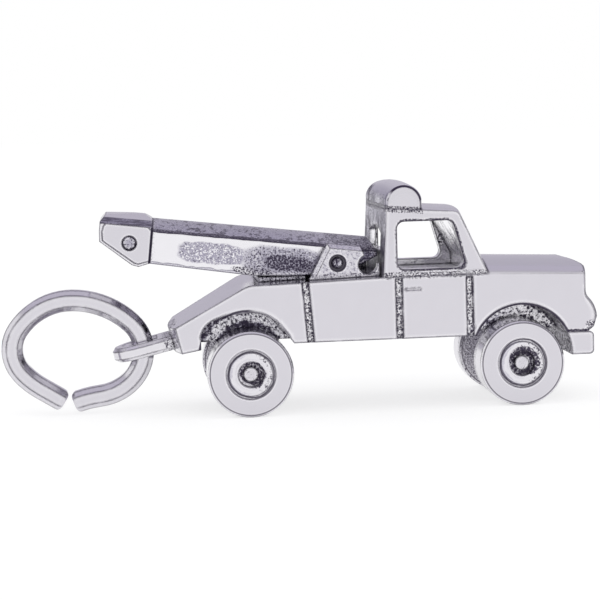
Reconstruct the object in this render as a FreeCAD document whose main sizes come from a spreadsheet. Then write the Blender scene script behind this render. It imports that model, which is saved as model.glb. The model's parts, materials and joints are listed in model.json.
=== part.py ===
# Tow truck charm: a small cast silver tow truck with rolling wheels and a raising boom, on a jump ring.
# Millimetres, +Z up, +X towards the front bumper. The origin is on the table under the middle of the
# overall length, jump ring included. Each sub-part is drawn from the middle of the wheelbase.

import FreeCAD
import Part
import math
import os

import Sketcher

Vector = FreeCAD.Vector
Rotation = FreeCAD.Rotation
Placement = FreeCAD.Placement

ORIGIN_POINT = -1
START = 1
END = 2
CENTRE = 3

# How near a place counts as there, and the least volume that a cut has to take away
PLACE_TOLERANCE = 0.02
LEAST_CUT = 1e-6

BEACON_END_STEPS = 3
BEACON_CROWN_STEPS = 3

SIZES = {
    # Overall
    "axle_middle": 4.51,
    "wheelbase": 14.30,
    "truck_width": 8.0,
    "cut_reach": 1.0,
    # Wheels and axles
    "wheel_radius": 2.25,
    "wheel_thickness": 2.0,
    "wheel_edge": 0.10,
    "tyre_inner_radius": 1.30,
    "hub_radius": 1.13,
    "hub_groove_depth": 0.16,
    "hub_recess_radius": 0.68,
    "hub_recess_depth": 0.42,
    "axle_radius": 0.30,
    "axle_head_radius": 0.38,
    "axle_head_length": 0.26,
    "axle_head_dome": 0.08,
    "running_clearance": 0.05,
    "seat_clearance": 0.02,
    # Lower body
    "body_bottom": 3.80,
    "belt_height": 7.05,
    "bed_rear_height": 6.86,
    "bed_overhang": -0.01,
    "bed_round": 1.4,
    "tail_overhang": 4.15,
    "tail_end_bulge": 0.36,
    "tail_top": 4.53,
    "tail_bottom": 3.28,
    "tail_inner_bottom": 3.55,
    "tail_tilt": 13.0,
    "tail_width": 5.9,
    "taper_lead": 1.65,
    # Hood and nose
    "cowl_reach": 5.00,
    "hood_base": 6.40,
    "hood_rear_shoulder": 7.05,
    "hood_front_shoulder": 6.85,
    "hood_rear_edge": 7.50,
    "hood_front_edge": 7.27,
    "hood_shoulder_run": 0.60,
    "hood_shoulder_radius": 0.60,
    "hood_crown_radius": 22.0,
    "hood_front_run": 0.50,
    "hood_front_drop": 0.22,
    "grille_overhang": 3.42,
    "grille_top": 6.75,
    "grille_bottom": 6.05,
    "nose_step_overhang": 3.62,
    "nose_step_height": 5.55,
    "nose_step_radius": 0.60,
    "nose_overhang": 4.01,
    "nose_height": 4.60,
    "nose_radius": 1.60,
    "nose_bottom_overhang": 3.84,
    "nose_bottom_height": 4.05,
    "chin_overhang": 3.50,
    # Wheel arches, spine and hollow underside
    "front_arch_gap": 0.40,
    "front_arch_raise": 0.43,
    "rear_arch_back_gap": 0.25,
    "rear_arch_back_rise": 2.00,
    "rear_arch_haunch_gap": 0.60,
    "rear_arch_haunch_rise": 2.88,
    "rear_arch_haunch_radius": 1.10,
    "rear_arch_brow_lead": 0.12,
    "rear_arch_brow_rise": 3.19,
    "rear_arch_brow_radius": 6.0,
    "rear_arch_knee_lead": 1.44,
    "rear_arch_knee_rise": 2.67,
    "rear_arch_knee_radius": 2.20,
    "rear_arch_front_lead": 2.29,
    "wheel_gap": 0.20,
    "spine_gap": 0.60,
    "spine_top": 6.00,
    "axle_block_radius": 0.85,
    "axle_block_sink": 0.20,
    "hollow_gap": 3.05,
    "hollow_wall": 0.80,
    "hollow_depth": 2.35,
    # Engraved door lines
    "line_width": 0.34,
    "line_depth": 0.14,
    "line_bottom": 3.86,
    "line_top": 6.93,
    "rear_line_x": 4.08,
    "rear_line_lean": 0.22,
    "middle_line_x": 0.70,
    "front_line_x": 4.42,
    "handle_start": 1.00,
    "handle_end": 1.86,
    "handle_height": 6.30,
    "handle_width": 0.14,
    "handle_depth": 0.04,
    # Front bumper
    "bumper_back_overhang": 2.15,
    "bumper_overhang": 3.83,
    "bumper_bottom": 2.60,
    "bumper_round": 0.22,
    # Cab
    "cab_back": 0.10,
    "cab_back_top": 0.12,
    "roof_rear_height": 10.62,
    "roof_front_height": 10.37,
    "roof_front_reach": 3.92,
    "screen_foot_reach": 5.12,
    "screen_foot_height": 7.72,
    "screen_bulge": 0.42,
    "cab_wall": 0.75,
    "cab_rear_wall": 0.36,
    "screen_wall": 0.40,
    "roof_thickness": 0.42,
    "roof_round": 0.40,
    "roof_crown": 0.17,
    "window_bottom": 7.42,
    "window_top": 9.90,
    "window_back": 0.66,
    "window_front_top": 3.58,
    "window_front_bottom": 4.27,
    "window_round": 0.38,
    "rear_window_width": 4.6,
    "rear_window_bottom": 8.35,
    "rear_window_shoulder": 9.25,
    "rear_window_arch_radius": 8.0,
    "screen_post": 0.90,
    "screen_bottom": 8.05,
    "screen_top": 9.80,
    "screen_recess": 0.12,
    # Beacon bar
    "beacon_back": 0.09,
    "beacon_front": 2.03,
    "beacon_side_height": 11.06,
    "beacon_top": 11.97,
    "beacon_crown": 0.15,
    "beacon_end_round": 0.28,
    # Boom brackets and base block
    "pivot_reach": 2.37,
    "pivot_height": 7.80,
    "boom_side_gap": 0.05,
    "bracket_thickness": 0.60,
    "bracket_foot_back": 3.88,
    "bracket_top_back": 2.87,
    "bracket_top_back_height": 8.84,
    "bracket_top_front": 1.12,
    "bracket_top_front_height": 8.62,
    "bracket_nose_x": 0.92,
    "bracket_nose_height": 8.08,
    "bracket_toe_height": 7.72,
    "bracket_toe_gap": 0.05,
    "notch_x": 0.78,
    "notch_height": 7.67,
    "notch_radius": 0.50,
    "bracket_bevel": 0.22,
    "rivet_recess_radius": 0.43,
    "rivet_recess_depth": 0.20,
    "base_back": 6.50,
    "base_front": 3.98,
    "base_width": 4.2,
    "base_seat": 7.16,
    "boom_seat": 7.20,
    # Boom, along its own axis from the pivot
    "boom_tilt": 7.04,
    "boom_width": 4.80,
    "boom_edge": 0.785,
    "boom_crown": 1.385,
    "boom_rear": 9.76,
    "boom_rear_bottom": 0.90,
    "boom_belly": 4.37,
    "boom_belly_bottom": 1.074,
    "boom_heel_back": 0.05,
    "boom_heel_back_drop": 0.68,
    "boom_heel_front": 0.36,
    "boom_heel_front_drop": 0.571,
    "boom_nose_reach": 2.135,
    "boom_nose_rise": 0.532,
    "boom_nose_radius": 2.20,
    "boom_nose_top": 1.709,
    "rivet_radius": 0.28,
    # Boom head
    "head_top_back": 12.25,
    "head_crown_back": 1.42,
    "head_crown_front": 1.62,
    "head_top_front": 10.24,
    "head_joint": 9.76,
    "head_joint_top": 1.36,
    "head_joint_bottom": 0.90,
    "head_chin": 10.30,
    "head_chin_drop": 1.12,
    "head_chin_back": 10.66,
    "head_chin_back_drop": 1.06,
    "head_back_low": 12.44,
    "head_back_low_rise": 0.02,
    "head_back": 12.50,
    "head_back_rise": 0.56,
    "head_back_top_rise": 1.05,
    "head_cheek_step": 0.98,
    "head_cap_width": 3.80,
    "head_cap_rise": 1.28,
    "head_cap_crown_radius": 6.0,
    "cheek_thickness": 0.22,
    "cheek_back_top": 12.17,
    "cheek_top": 1.00,
    "cheek_front_top": 10.00,
    "cheek_front": 9.80,
    "cheek_front_rise": 0.82,
    "cheek_front_low": 9.78,
    "cheek_front_drop": 0.76,
    "cheek_chin": 10.34,
    "cheek_chin_drop": 0.97,
    "cheek_chin_back": 10.56,
    "cheek_chin_back_drop": 0.92,
    "cheek_back_low": 12.28,
    "cheek_back_low_rise": 0.09,
    "cheek_back": 12.34,
    "cheek_back_rise": 0.55,
    "cheek_back_high": 12.28,
    "cheek_back_high_rise": 0.86,
    "head_pin_reach": 10.89,
    "head_pin_rise": 0.08,
    "head_pin_radius": 0.36,
    "head_pin_recess": 0.12,
    # Bail and jump ring
    "bail_centre_height": 3.77,
    "bail_length": 3.196,
    "bail_width": 2.90,
    "bail_bar": 0.74,
    "bail_root": 0.70,
    "bail_thickness": 0.76,
    "bail_bevel": 0.17,
    "hinge_from_bail_end": 0.37,
    "ring_wire": 1.11,
    "ring_thickness": 1.10,
    "ring_bevel": 0.26,
    "ring_end_round": 0.30,
    "ring_drop": 0.03,
    "ring_turn": 0.8,
}

# Middle line of the jump ring's wire, from one side of its split round to the other, measured from
# the middle of the bail's end bar. Each stretch after the first is an arc that carries on smoothly.
RING_POINTS = {
    "split_left": (-3.069, -2.386),
    "left_limb": (-4.309, -1.574),
    "left_foot": (-5.218, -0.779),
    "left_end": (-5.691, 0.287),
    "left_side": (-5.331, 1.645),
    "left_shoulder": (-4.221, 2.620),
    "top": (-2.425, 3.050),
    "right_shoulder": (-0.606, 2.593),
    "right_side": (0.684, 1.661),
    "right_end": (1.250, 0.276),
    "right_turn": (0.931, -0.891),
    "right_foot": (0.074, -1.756),
    "lower_limb": (-1.154, -2.158),
    "split_right": (-2.610, -2.463),
}


class Size:
    """A length that keeps its number together with the sheet expression that gives it."""

    def __init__(self, value, text):
        self.value = value
        self.text = text

    def _join(self, other, sign, result):
        return Size(result, f"({self.text} {sign} {as_size(other).text})")

    def __add__(self, other):
        return self._join(other, "+", self.value + as_size(other).value)

    def __sub__(self, other):
        return self._join(other, "-", self.value - as_size(other).value)

    def __mul__(self, other):
        return self._join(other, "*", self.value * as_size(other).value)

    def __truediv__(self, other):
        return self._join(other, "/", self.value / as_size(other).value)

    def __neg__(self):
        return Size(-self.value, f"(-1 * {self.text})")


def as_size(number):
    """A plain number as a Size, so that both can be mixed."""
    if isinstance(number, Size):
        return number
    return Size(float(number), repr(float(number)))


def tangent(angle):
    """Tangent of an angle that the sheet holds in degrees."""
    return Size(math.tan(math.radians(angle.value)), f"tan({angle.text})")


def root(size):
    """Square root of a Size."""
    return Size(math.sqrt(size.value), f"sqrt({size.text})")


def cosine(angle):
    """Cosine of an angle that the sheet holds in degrees."""
    return Size(math.cos(math.radians(angle.value)), f"cos({angle.text})")


def sine(angle):
    """Sine of an angle that the sheet holds in degrees."""
    return Size(math.sin(math.radians(angle.value)), f"sin({angle.text})")


def angle_of(slope):
    """Angle in degrees whose tangent is the given slope."""
    return Size(math.degrees(math.atan(slope.value)), f"atan({slope.text})")


class SizeSheet:
    """The document's spreadsheet: size.NAME is the Size of the cell with that alias."""

    def __init__(self, document, values):
        self.values = dict(values)
        self.sheet = document.addObject("Spreadsheet::Sheet", "Sizes")
        for row, (alias, number) in enumerate(values.items(), start=1):
            self.sheet.set(f"A{row}", alias)
            self.sheet.set(f"B{row}", str(number))
            self.sheet.setAlias(f"B{row}", alias)
        document.recompute()

    def __getattr__(self, alias):
        return Size(float(self.values[alias]), f"Sizes.{alias}")


def bind(thing, prop, size):
    """Tie a property to the sheet."""
    thing.setExpression(prop, size.text)


def origin_plane(body, role):
    """One of the body's own base planes."""
    for feature in body.Origin.OriginFeatures:
        if feature.Role == role:
            return feature
    raise ValueError(role)


def new_body(document, label, at_x=None, at_z=None, tilt=None):
    """An empty body whose own origin stands at the given place in the truck."""
    body = document.addObject("PartDesign::Body", label)
    body.Label = label
    base = Vector(0, 0, 0)
    if at_x is not None:
        base.x = at_x.value
    if at_z is not None:
        base.z = at_z.value
    turn = Rotation(Vector(0, 1, 0), tilt.value if tilt is not None else 0)
    body.Placement = Placement(base, turn)
    if at_x is not None:
        bind(body, "Placement.Base.x", at_x)
    if at_z is not None:
        bind(body, "Placement.Base.z", at_z)
    if tilt is not None:
        bind(body, "Placement.Rotation.Angle", tilt)
    return body


def new_sketch(body, name, role, offset=None):
    """A sketch on a base plane of its body, moved along the plane's normal by offset."""
    sketch = body.newObject("Sketcher::SketchObject", name)
    sketch.AttachmentSupport = [(origin_plane(body, role), "")]
    sketch.MapMode = "FlatFace"
    if offset is not None:
        sketch.AttachmentOffset = Placement(Vector(0, 0, offset.value), Rotation())
        bind(sketch, "AttachmentOffset.Base.z", offset)
    return sketch


def leaning_sketch(body, name, at_x, at_z, lean):
    """A sketch seen from above whose normal leans towards the tail by an angle, through the given place."""
    sketch = new_sketch(body, name, "XY_Plane")
    turn = Rotation(Vector(0, 1, 0), -lean.value)
    sketch.AttachmentOffset = Placement(Vector(at_x.value, 0, at_z.value), turn)
    bind(sketch, "AttachmentOffset.Base.x", at_x)
    bind(sketch, "AttachmentOffset.Base.z", at_z)
    bind(sketch, "AttachmentOffset.Rotation.Angle", -lean)
    return sketch


def pin_point(sketch, geometry, end, x, y):
    """Hold one end of a line or arc at a place that the sheet gives."""
    for kind, size in (("DistanceX", x), ("DistanceY", y)):
        constraint = Sketcher.Constraint(kind, ORIGIN_POINT, START, geometry, end, size.value)
        index = sketch.addConstraint(constraint)
        bind(sketch, f"Constraints[{index}]", size)


class Outline:
    """A closed outline of straight and round stretches. Each point is tied to the sheet."""

    def __init__(self, sketch, x, y):
        self.sketch = sketch
        self.points = [(as_size(x), as_size(y))]
        self.radii = []

    def line(self, x, y):
        self.points.append((as_size(x), as_size(y)))
        self.radii.append(None)
        return self

    def arc(self, x, y, radius, side, smooth=False):
        """A round stretch. side is 1 where it turns left on its way and -1 where it turns right.

        A smooth one is held tangent to the stretch before it, as a half turn needs, and not by its radius.
        """
        self.points.append((as_size(x), as_size(y)))
        self.radii.append((as_size(radius), side, smooth))
        return self

    def close(self, radius=None, side=1):
        self.radii.append(None if radius is None else (as_size(radius), side, False))
        ends = []
        count = len(self.points)
        for index, bend in enumerate(self.radii):
            start = Vector(self.points[index][0].value, self.points[index][1].value, 0)
            following = self.points[(index + 1) % count]
            finish = Vector(following[0].value, following[1].value, 0)
            if bend is None:
                geometry = self.sketch.addGeometry(Part.LineSegment(start, finish))
                ends.append((geometry, START, END))
            else:
                geometry = self.sketch.addGeometry(round_stretch(start, finish, bend[0], bend[1]))
                if not bend[2]:
                    constraint = Sketcher.Constraint("Radius", geometry, bend[0].value)
                    bind(self.sketch, f"Constraints[{self.sketch.addConstraint(constraint)}]", bend[0])
                first, last = (START, END) if bend[1] > 0 else (END, START)
                ends.append((geometry, first, last))
        for index, (geometry, first, last) in enumerate(ends):
            nxt = ends[(index + 1) % count]
            bend = self.radii[(index + 1) % count]
            joint = "Tangent" if bend is not None and bend[2] else "Coincident"
            self.sketch.addConstraint(Sketcher.Constraint(joint, geometry, last, nxt[0], nxt[1]))
            pin_point(self.sketch, geometry, first, *self.points[index])
        return self.sketch


def round_stretch(start, finish, radius, side):
    """The arc of the given radius between two points, turning left (1) or right (-1)."""
    chord = finish - start
    half = chord.Length / 2
    reach = math.sqrt(max(radius.value ** 2 - half ** 2, 0))
    across = Vector(-chord.y, chord.x, 0).normalize() * (reach * side)
    centre = (start + finish) / 2 + across
    circle = Part.Circle(centre, Vector(0, 0, 1), radius.value)
    if side < 0:
        start, finish = finish, start
    angle_from = math.atan2(start.y - centre.y, start.x - centre.x)
    angle_to = math.atan2(finish.y - centre.y, finish.x - centre.x)
    if angle_to < angle_from:
        angle_to += 2 * math.pi
    return Part.ArcOfCircle(circle, angle_from, angle_to)


def polygon(sketch, points):
    """A closed outline of straight stretches."""
    outline = Outline(sketch, *points[0])
    for x, y in points[1:]:
        outline.line(x, y)
    return outline.close()


def circle(sketch, x, y, radius):
    """A circle with its centre and radius tied to the sheet."""
    x, y = as_size(x), as_size(y)
    centre = Vector(x.value, y.value, 0)
    geometry = sketch.addGeometry(Part.Circle(centre, Vector(0, 0, 1), radius.value))
    index = sketch.addConstraint(Sketcher.Constraint("Radius", geometry, radius.value))
    bind(sketch, f"Constraints[{index}]", radius)
    pin_point(sketch, geometry, CENTRE, x, y)
    return sketch


def finish_feature(body, feature):
    """Computes a feature and stops if it failed."""
    body.Document.recompute()
    if "Invalid" in feature.State or "Error" in feature.State:
        raise RuntimeError(f"{feature.Name} on {body.Label}: {feature.getStatusString()}")
    return feature


def extrude(body, kind, sketch, length, symmetric=True, reverse=False):
    """A pad or pocket of a sketch."""
    feature = body.newObject(f"PartDesign::{kind}", sketch.Name + kind)
    feature.Profile = sketch
    feature.Length = length.value
    bind(feature, "Length", length)
    feature.SideType = "Symmetric" if symmetric else "One side"
    feature.Reversed = reverse
    return finish_feature(body, feature)


def pad(body, sketch, length, **options):
    return extrude(body, "Pad", sketch, length, **options)


def pocket(body, sketch, length, **options):
    """A pocket that has to take material away."""
    before = body.Shape.Volume
    feature = extrude(body, "Pocket", sketch, length, **options)
    if body.Shape.Volume > before - LEAST_CUT:
        raise RuntimeError(f"{sketch.Name} cuts nothing")
    return feature


def revolve(body, sketch):
    """A full turn of a sketch about the body's own Y axis."""
    feature = body.newObject("PartDesign::Revolution", sketch.Name + "Turn")
    feature.Profile = sketch
    feature.ReferenceAxis = (sketch, ["V_Axis"])
    feature.Angle = 360
    return finish_feature(body, feature)


def dress(body, kind, base, chosen, size):
    """A fillet or chamfer of the edges for which chosen(edge) holds."""
    names = [f"Edge{number}" for number, edge in enumerate(base.Shape.Edges, start=1) if chosen(edge)]
    if not names:
        raise RuntimeError(f"no edges for {kind} on {body.Label}")
    feature = body.newObject(f"PartDesign::{kind}", f"{body.Label}{kind}")
    feature.Base = (base, names)
    if kind == "Fillet":
        feature.Radius = size.value
        bind(feature, "Radius", size)
    else:
        feature.Size = size.value
        bind(feature, "Size", size)
    return finish_feature(body, feature)


def across_edges(points, reach=PLACE_TOLERANCE):
    """Chooses edges that run across the truck through the given (x, z) places."""
    places = [(as_size(x).value, as_size(z).value) for x, z in points]

    def chosen(edge):
        ends = [vertex.Point for vertex in edge.Vertexes]
        if len(ends) != 2:
            return False
        for x, z in places:
            if all(abs(end.x - x) < reach and abs(end.z - z) < reach for end in ends):
                return True
        return False

    return chosen


# Heights and places that more than one sub-part uses


def bed_height(size, reach):
    """Height of the bed at a distance behind the middle of the wheelbase."""
    bed_length = -rear(size, size.bed_overhang) - size.cab_back
    fall = (size.belt_height - size.bed_rear_height) / bed_length
    return size.belt_height - fall * (reach - size.cab_back)


def roof_height(size, x):
    """Height of the roof at a distance ahead of the middle of the wheelbase."""
    fall = (size.roof_rear_height - size.roof_front_height) / (size.roof_front_reach - size.cab_back_top)
    return size.roof_rear_height - fall * (x - size.cab_back_top)


def arch_centre_height(size):
    return size.wheel_radius + size.front_arch_raise


def axle_x(size, end):
    """Distance of an axle from the middle of the wheelbase: end is 1 at the front and -1 at the rear."""
    return size.wheelbase * (end / 2)


def front(size, overhang):
    """A place ahead of the front axle."""
    return axle_x(size, 1) + overhang


def rear(size, overhang):
    """A place behind the rear axle."""
    return axle_x(size, -1) - overhang


def front_arch_radius(size):
    return size.wheel_radius + size.front_arch_gap


def spine_width(size):
    """Width of the casting's middle between the wheels."""
    return size.truck_width - (size.wheel_thickness + size.wheel_gap) * 2


def bracket_inner(size):
    """Distance of a bracket's inner face from the truck's middle plane."""
    return size.boom_width / 2 + size.boom_side_gap


# Lower body casting


def body_profile(body, size):
    """Side view of the casting, from the tail over the bed to the nose."""
    tail_run = (size.tail_top - size.tail_bottom) * tangent(size.tail_tilt)
    outline = Outline(new_sketch(body, "body_profile", "XZ_Plane"), rear(size, size.tail_overhang),
                      size.tail_top)
    outline.line(rear(size, size.bed_overhang), size.bed_rear_height)
    outline.line(-size.cab_back, size.belt_height)
    outline.line(size.cowl_reach, size.belt_height)
    outline.line(front(size, size.grille_overhang), size.grille_top)
    outline.line(front(size, size.grille_overhang), size.grille_bottom)
    outline.arc(front(size, size.nose_step_overhang), size.nose_step_height, size.nose_step_radius, 1)
    outline.arc(front(size, size.nose_overhang), size.nose_height, size.nose_radius, -1)
    outline.line(front(size, size.nose_bottom_overhang), size.nose_bottom_height)
    outline.line(front(size, size.chin_overhang), size.body_bottom)
    outline.line(rear(size, -size.wheel_radius), size.body_bottom)
    outline.line(rear(size, size.wheel_radius + size.rear_arch_back_gap), size.tail_inner_bottom)
    outline.line(rear(size, size.tail_overhang - tail_run), size.tail_bottom)
    pad(body, outline.close(), size.truck_width)


def hood_section(body, size, name, reach, shoulder, edge):
    """Cross-section of the hood: round shoulders and a gently crowned top."""
    half = size.truck_width / 2
    inner = half - size.hood_shoulder_run
    outline = Outline(new_sketch(body, name, "YZ_Plane", reach), -half, size.hood_base)
    outline.line(half, size.hood_base)
    outline.line(half, shoulder)
    outline.arc(inner, edge, size.hood_shoulder_radius, 1)
    outline.arc(-inner, edge, size.hood_crown_radius, 1)
    outline.arc(-half, shoulder, size.hood_shoulder_radius, 1)
    return outline.close()


def hood(body, size):
    """The hood, lofted from the cowl to the grille."""
    cowl_end = hood_section(body, size, "hood_rear", size.cowl_reach, size.hood_rear_shoulder,
                            size.hood_rear_edge)
    grille_end = hood_section(body, size, "hood_front", front(size, size.grille_overhang),
                              size.hood_front_shoulder, size.hood_front_edge)
    loft = body.newObject("PartDesign::AdditiveLoft", "hood_loft")
    loft.Profile = cowl_end
    loft.Sections = [grille_end]
    return finish_feature(body, loft)


def hood_top(size, edge):
    """Height of the hood's middle above shoulders that end at the given height."""
    inner = size.truck_width / 2 - size.hood_shoulder_run
    crown = size.hood_crown_radius
    return edge + crown - root(crown * crown - inner * inner)


def hood_front(body, size):
    """Rounds the hood down to the grille."""
    face = front(size, size.grille_overhang)
    top = hood_top(size, size.hood_front_edge)
    start = face - size.hood_front_run
    over = top + size.cut_reach
    bend = size.hood_front_run
    chord = bend * bend + size.hood_front_drop * size.hood_front_drop
    radius = chord / (size.hood_front_drop * 2)
    outline = Outline(new_sketch(body, "hood_front_round", "XZ_Plane"), face, top - size.hood_front_drop)
    outline.arc(start, top, radius, 1)
    outline.line(start, over)
    outline.line(face + size.cut_reach, over)
    outline.line(face + size.cut_reach, top - size.hood_front_drop)
    pocket(body, outline.close(), size.truck_width + size.cut_reach)


def tail_end_radius(size):
    """Radius, seen from above, of the tail's end face."""
    half = size.tail_width / 2
    bulge = size.tail_end_bulge
    return (half * half + bulge * bulge) / (bulge * 2)


def tail_end(body, size):
    """Rounds the sloping end of the tail in plan."""
    half = size.tail_width / 2
    over = half + size.cut_reach
    apex = rear(size, size.tail_overhang)
    past = -size.cut_reach
    sketch = leaning_sketch(body, "tail_end", apex, size.tail_top, size.tail_tilt)
    outline = Outline(sketch, size.tail_end_bulge, -half)
    outline.arc(size.tail_end_bulge, half, tail_end_radius(size), -1)
    outline.line(size.tail_end_bulge, over)
    outline.line(past, over)
    outline.line(past, -over)
    outline.line(size.tail_end_bulge, -over)
    pocket(body, outline.close(), size.belt_height * 2)


def tail_taper(body, size):
    """The casting narrows in plan from the bed to the tail."""
    half = size.truck_width / 2
    end = size.tail_width / 2
    over = half + size.cut_reach
    start = rear(size, -size.taper_lead)
    finish = rear(size, size.tail_overhang + size.cut_reach)
    end_half = end - (half - end) * size.cut_reach / (size.tail_overhang + size.taper_lead)
    sketch = new_sketch(body, "tail_taper", "XY_Plane")
    for side in (-1, 1):
        polygon(sketch, [
            (start, half * side),
            (finish, end_half * side),
            (finish, over * side),
            (start, over * side),
        ])
    pocket(body, sketch, size.belt_height * 4)


def wheel_arches(body, size):
    """Round arches over the front wheels and a longer, haunched pair over the rear wheels."""
    sketch = new_sketch(body, "front_arches", "XZ_Plane")
    circle(sketch, axle_x(size, 1), arch_centre_height(size), front_arch_radius(size))
    pocket(body, sketch, size.truck_width + size.cut_reach)
    back = rear(size, size.wheel_radius + size.rear_arch_back_gap)
    haunch = rear(size, size.wheel_radius - size.rear_arch_haunch_gap)
    knee = rear(size, -size.rear_arch_knee_lead)
    foot = rear(size, -size.rear_arch_front_lead)
    below = size.tail_bottom - size.cut_reach
    outline = Outline(new_sketch(body, "rear_arches", "XZ_Plane"), back, below)
    outline.line(back, size.wheel_radius + size.rear_arch_back_rise)
    outline.arc(haunch, size.wheel_radius + size.rear_arch_haunch_rise, size.rear_arch_haunch_radius, -1)
    outline.arc(rear(size, -size.rear_arch_brow_lead), size.wheel_radius + size.rear_arch_brow_rise,
                size.rear_arch_brow_radius, -1)
    outline.arc(knee, size.wheel_radius + size.rear_arch_knee_rise, size.rear_arch_knee_radius, -1)
    outline.line(foot, size.body_bottom)
    outline.line(foot, below)
    pocket(body, outline.close(), size.truck_width + size.cut_reach)


def spine(body, size):
    """The casting's middle, left whole between the wheels, with a round block under it for each axle."""
    reach = size.wheel_radius + size.spine_gap
    sketch = new_sketch(body, "spine", "XZ_Plane")
    polygon(sketch, [
        (rear(size, reach), size.body_bottom),
        (front(size, reach), size.body_bottom),
        (front(size, reach), size.spine_top),
        (rear(size, size.bed_overhang), size.spine_top),
        (rear(size, reach), size.tail_top),
    ])
    pad(body, sketch, spine_width(size))
    for end, name in ((1, "front_axle_block"), (-1, "rear_axle_block")):
        middle = axle_x(size, end)
        back_side = middle - size.axle_block_radius
        front_side = middle + size.axle_block_radius
        top = size.body_bottom + size.axle_block_sink
        outline = Outline(new_sketch(body, name, "XZ_Plane"), back_side, top)
        outline.line(back_side, size.wheel_radius)
        outline.arc(front_side, size.wheel_radius, size.axle_block_radius, 1, smooth=True)
        outline.line(front_side, top)
        pad(body, outline.close(), spine_width(size))
        bore = new_sketch(body, name + "_bore", "XZ_Plane")
        circle(bore, middle, size.wheel_radius, size.axle_radius + size.seat_clearance)
        pocket(body, bore, size.truck_width)


def hollow_underside(body, size):
    """The casting is hollowed from below between the wheels."""
    half = size.truck_width / 2 - size.hollow_wall
    reach = size.wheelbase / 2 - size.hollow_gap
    sketch = new_sketch(body, "hollow_underside", "XY_Plane", size.body_bottom)
    polygon(sketch, [
        (-reach, -half),
        (reach, -half),
        (reach, half),
        (-reach, half),
    ])
    pocket(body, sketch, size.hollow_depth, symmetric=False, reverse=True)


def door_lines(body, size):
    """Engraved lines and a handle mark on both sides."""
    half_line = size.line_width / 2
    half_lean = size.rear_line_lean / 2
    upright = as_size(0)
    lines = ((-size.rear_line_x, half_lean), (size.middle_line_x, upright), (size.front_line_x, upright))
    for side in (-1, 1):
        name = "right" if side < 0 else "left"
        face = size.truck_width * (-side / 2)
        sketch = new_sketch(body, f"door_lines_{name}", "XZ_Plane", face)
        for middle, lean in lines:
            polygon(sketch, [
                (middle + lean - half_line, size.line_bottom),
                (middle + lean + half_line, size.line_bottom),
                (middle - lean + half_line, size.line_top),
                (middle - lean - half_line, size.line_top),
            ])
        pocket(body, sketch, size.line_depth, symmetric=False, reverse=side > 0)
        sketch = new_sketch(body, f"handle_{name}", "XZ_Plane", face)
        polygon(sketch, [
            (size.handle_start, size.handle_height),
            (size.handle_end, size.handle_height),
            (size.handle_end, size.handle_height + size.handle_width),
            (size.handle_start, size.handle_height + size.handle_width),
        ])
        pocket(body, sketch, size.handle_depth, symmetric=False, reverse=side > 0)


def make_body(document, size):
    """The lower casting, its hood trimmed where the cab's curved front stands against it."""
    body = new_body(document, "lower_casting", at_x=size.axle_middle)
    body_profile(body, size)
    loft = hood(body, size)
    bed_end = across_edges([(rear(size, size.bed_overhang), size.bed_rear_height)])
    dress(body, "Fillet", loft, bed_end, size.bed_round)
    hood_front(body, size)
    tail_taper(body, size)
    tail_end(body, size)
    wheel_arches(body, size)
    spine(body, size)
    hollow_underside(body, size)
    door_lines(body, size)
    trimmed = document.addObject("Part::Cut", "body")
    trimmed.Base = body
    trimmed.Tool = cab_block(document, size, "cab_seat")
    trimmed.Label = "body"
    document.recompute()
    return trimmed


# Front bumper


def make_bumper(document, size):
    """A plain bar across the nose, its rear side scooped by the wheel arch."""
    bumper = new_body(document, "front_bumper", at_x=size.axle_middle)
    back_side = front(size, size.bumper_back_overhang)
    face = front(size, size.bumper_overhang)
    sketch = new_sketch(bumper, "bumper_profile", "XZ_Plane")
    polygon(sketch, [
        (back_side, size.bumper_bottom),
        (face, size.bumper_bottom),
        (face, size.body_bottom),
        (back_side, size.body_bottom),
    ])
    bar = pad(bumper, sketch, size.truck_width)
    corners = across_edges([(face, size.bumper_bottom), (face, size.body_bottom)])
    dress(bumper, "Fillet", bar, corners, size.bumper_round)
    arch = new_sketch(bumper, "bumper_arch", "XZ_Plane")
    circle(arch, axle_x(size, 1), arch_centre_height(size), front_arch_radius(size))
    pocket(bumper, arch, size.truck_width + size.cut_reach)
    return bumper


# Cab


def screen_x(size, height):
    """Distance of the windscreen's side edges at a height."""
    return size.screen_foot_reach - (height - size.screen_foot_height) * screen_slope(size)


def screen_slope(size):
    """How far the windscreen leans back for each millimetre of height."""
    run = size.screen_foot_reach - size.roof_front_reach
    return run / (size.roof_front_height - size.screen_foot_height)


def screen_radius(size):
    """Radius of the windscreen's curve, seen square to its slope, and how far it stands out in the middle."""
    half = size.truck_width / 2
    bulge = size.screen_bulge * cosine(angle_of(screen_slope(size)))
    return (half * half + bulge * bulge) / (bulge * 2), bulge


def screen_sketch(body, size, name, height):
    """A sketch square to the windscreen's slope, through its middle at the given height."""
    rake = angle_of(screen_slope(size))
    return leaning_sketch(body, name, screen_x(size, height) + size.screen_bulge, height, rake)


def roof_crown_section(block, size, name, reach):
    """Cross-section of the roof's low crown, which starts at both of the roof's edges."""
    half = size.truck_width / 2
    edge = roof_height(size, reach)
    rise = size.roof_crown
    outline = Outline(new_sketch(block, name, "YZ_Plane", reach), -half, edge - rise)
    outline.line(half, edge - rise)
    outline.line(half, edge)
    outline.arc(-half, edge, (half * half + rise * rise) / (rise * 2), 1)
    return outline.close()


def roof_crown(block, size, label, brow):
    """The crown ahead of the beacon, which itself sits on the flat part of the roof."""
    back_end = roof_crown_section(block, size, label + "_crown_back", size.beacon_front)
    brow_end = roof_crown_section(block, size, label + "_crown_front", brow)
    loft = block.newObject("PartDesign::AdditiveLoft", label + "_crown")
    loft.Profile = back_end
    loft.Sections = [brow_end]
    finish_feature(block, loft)


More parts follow.
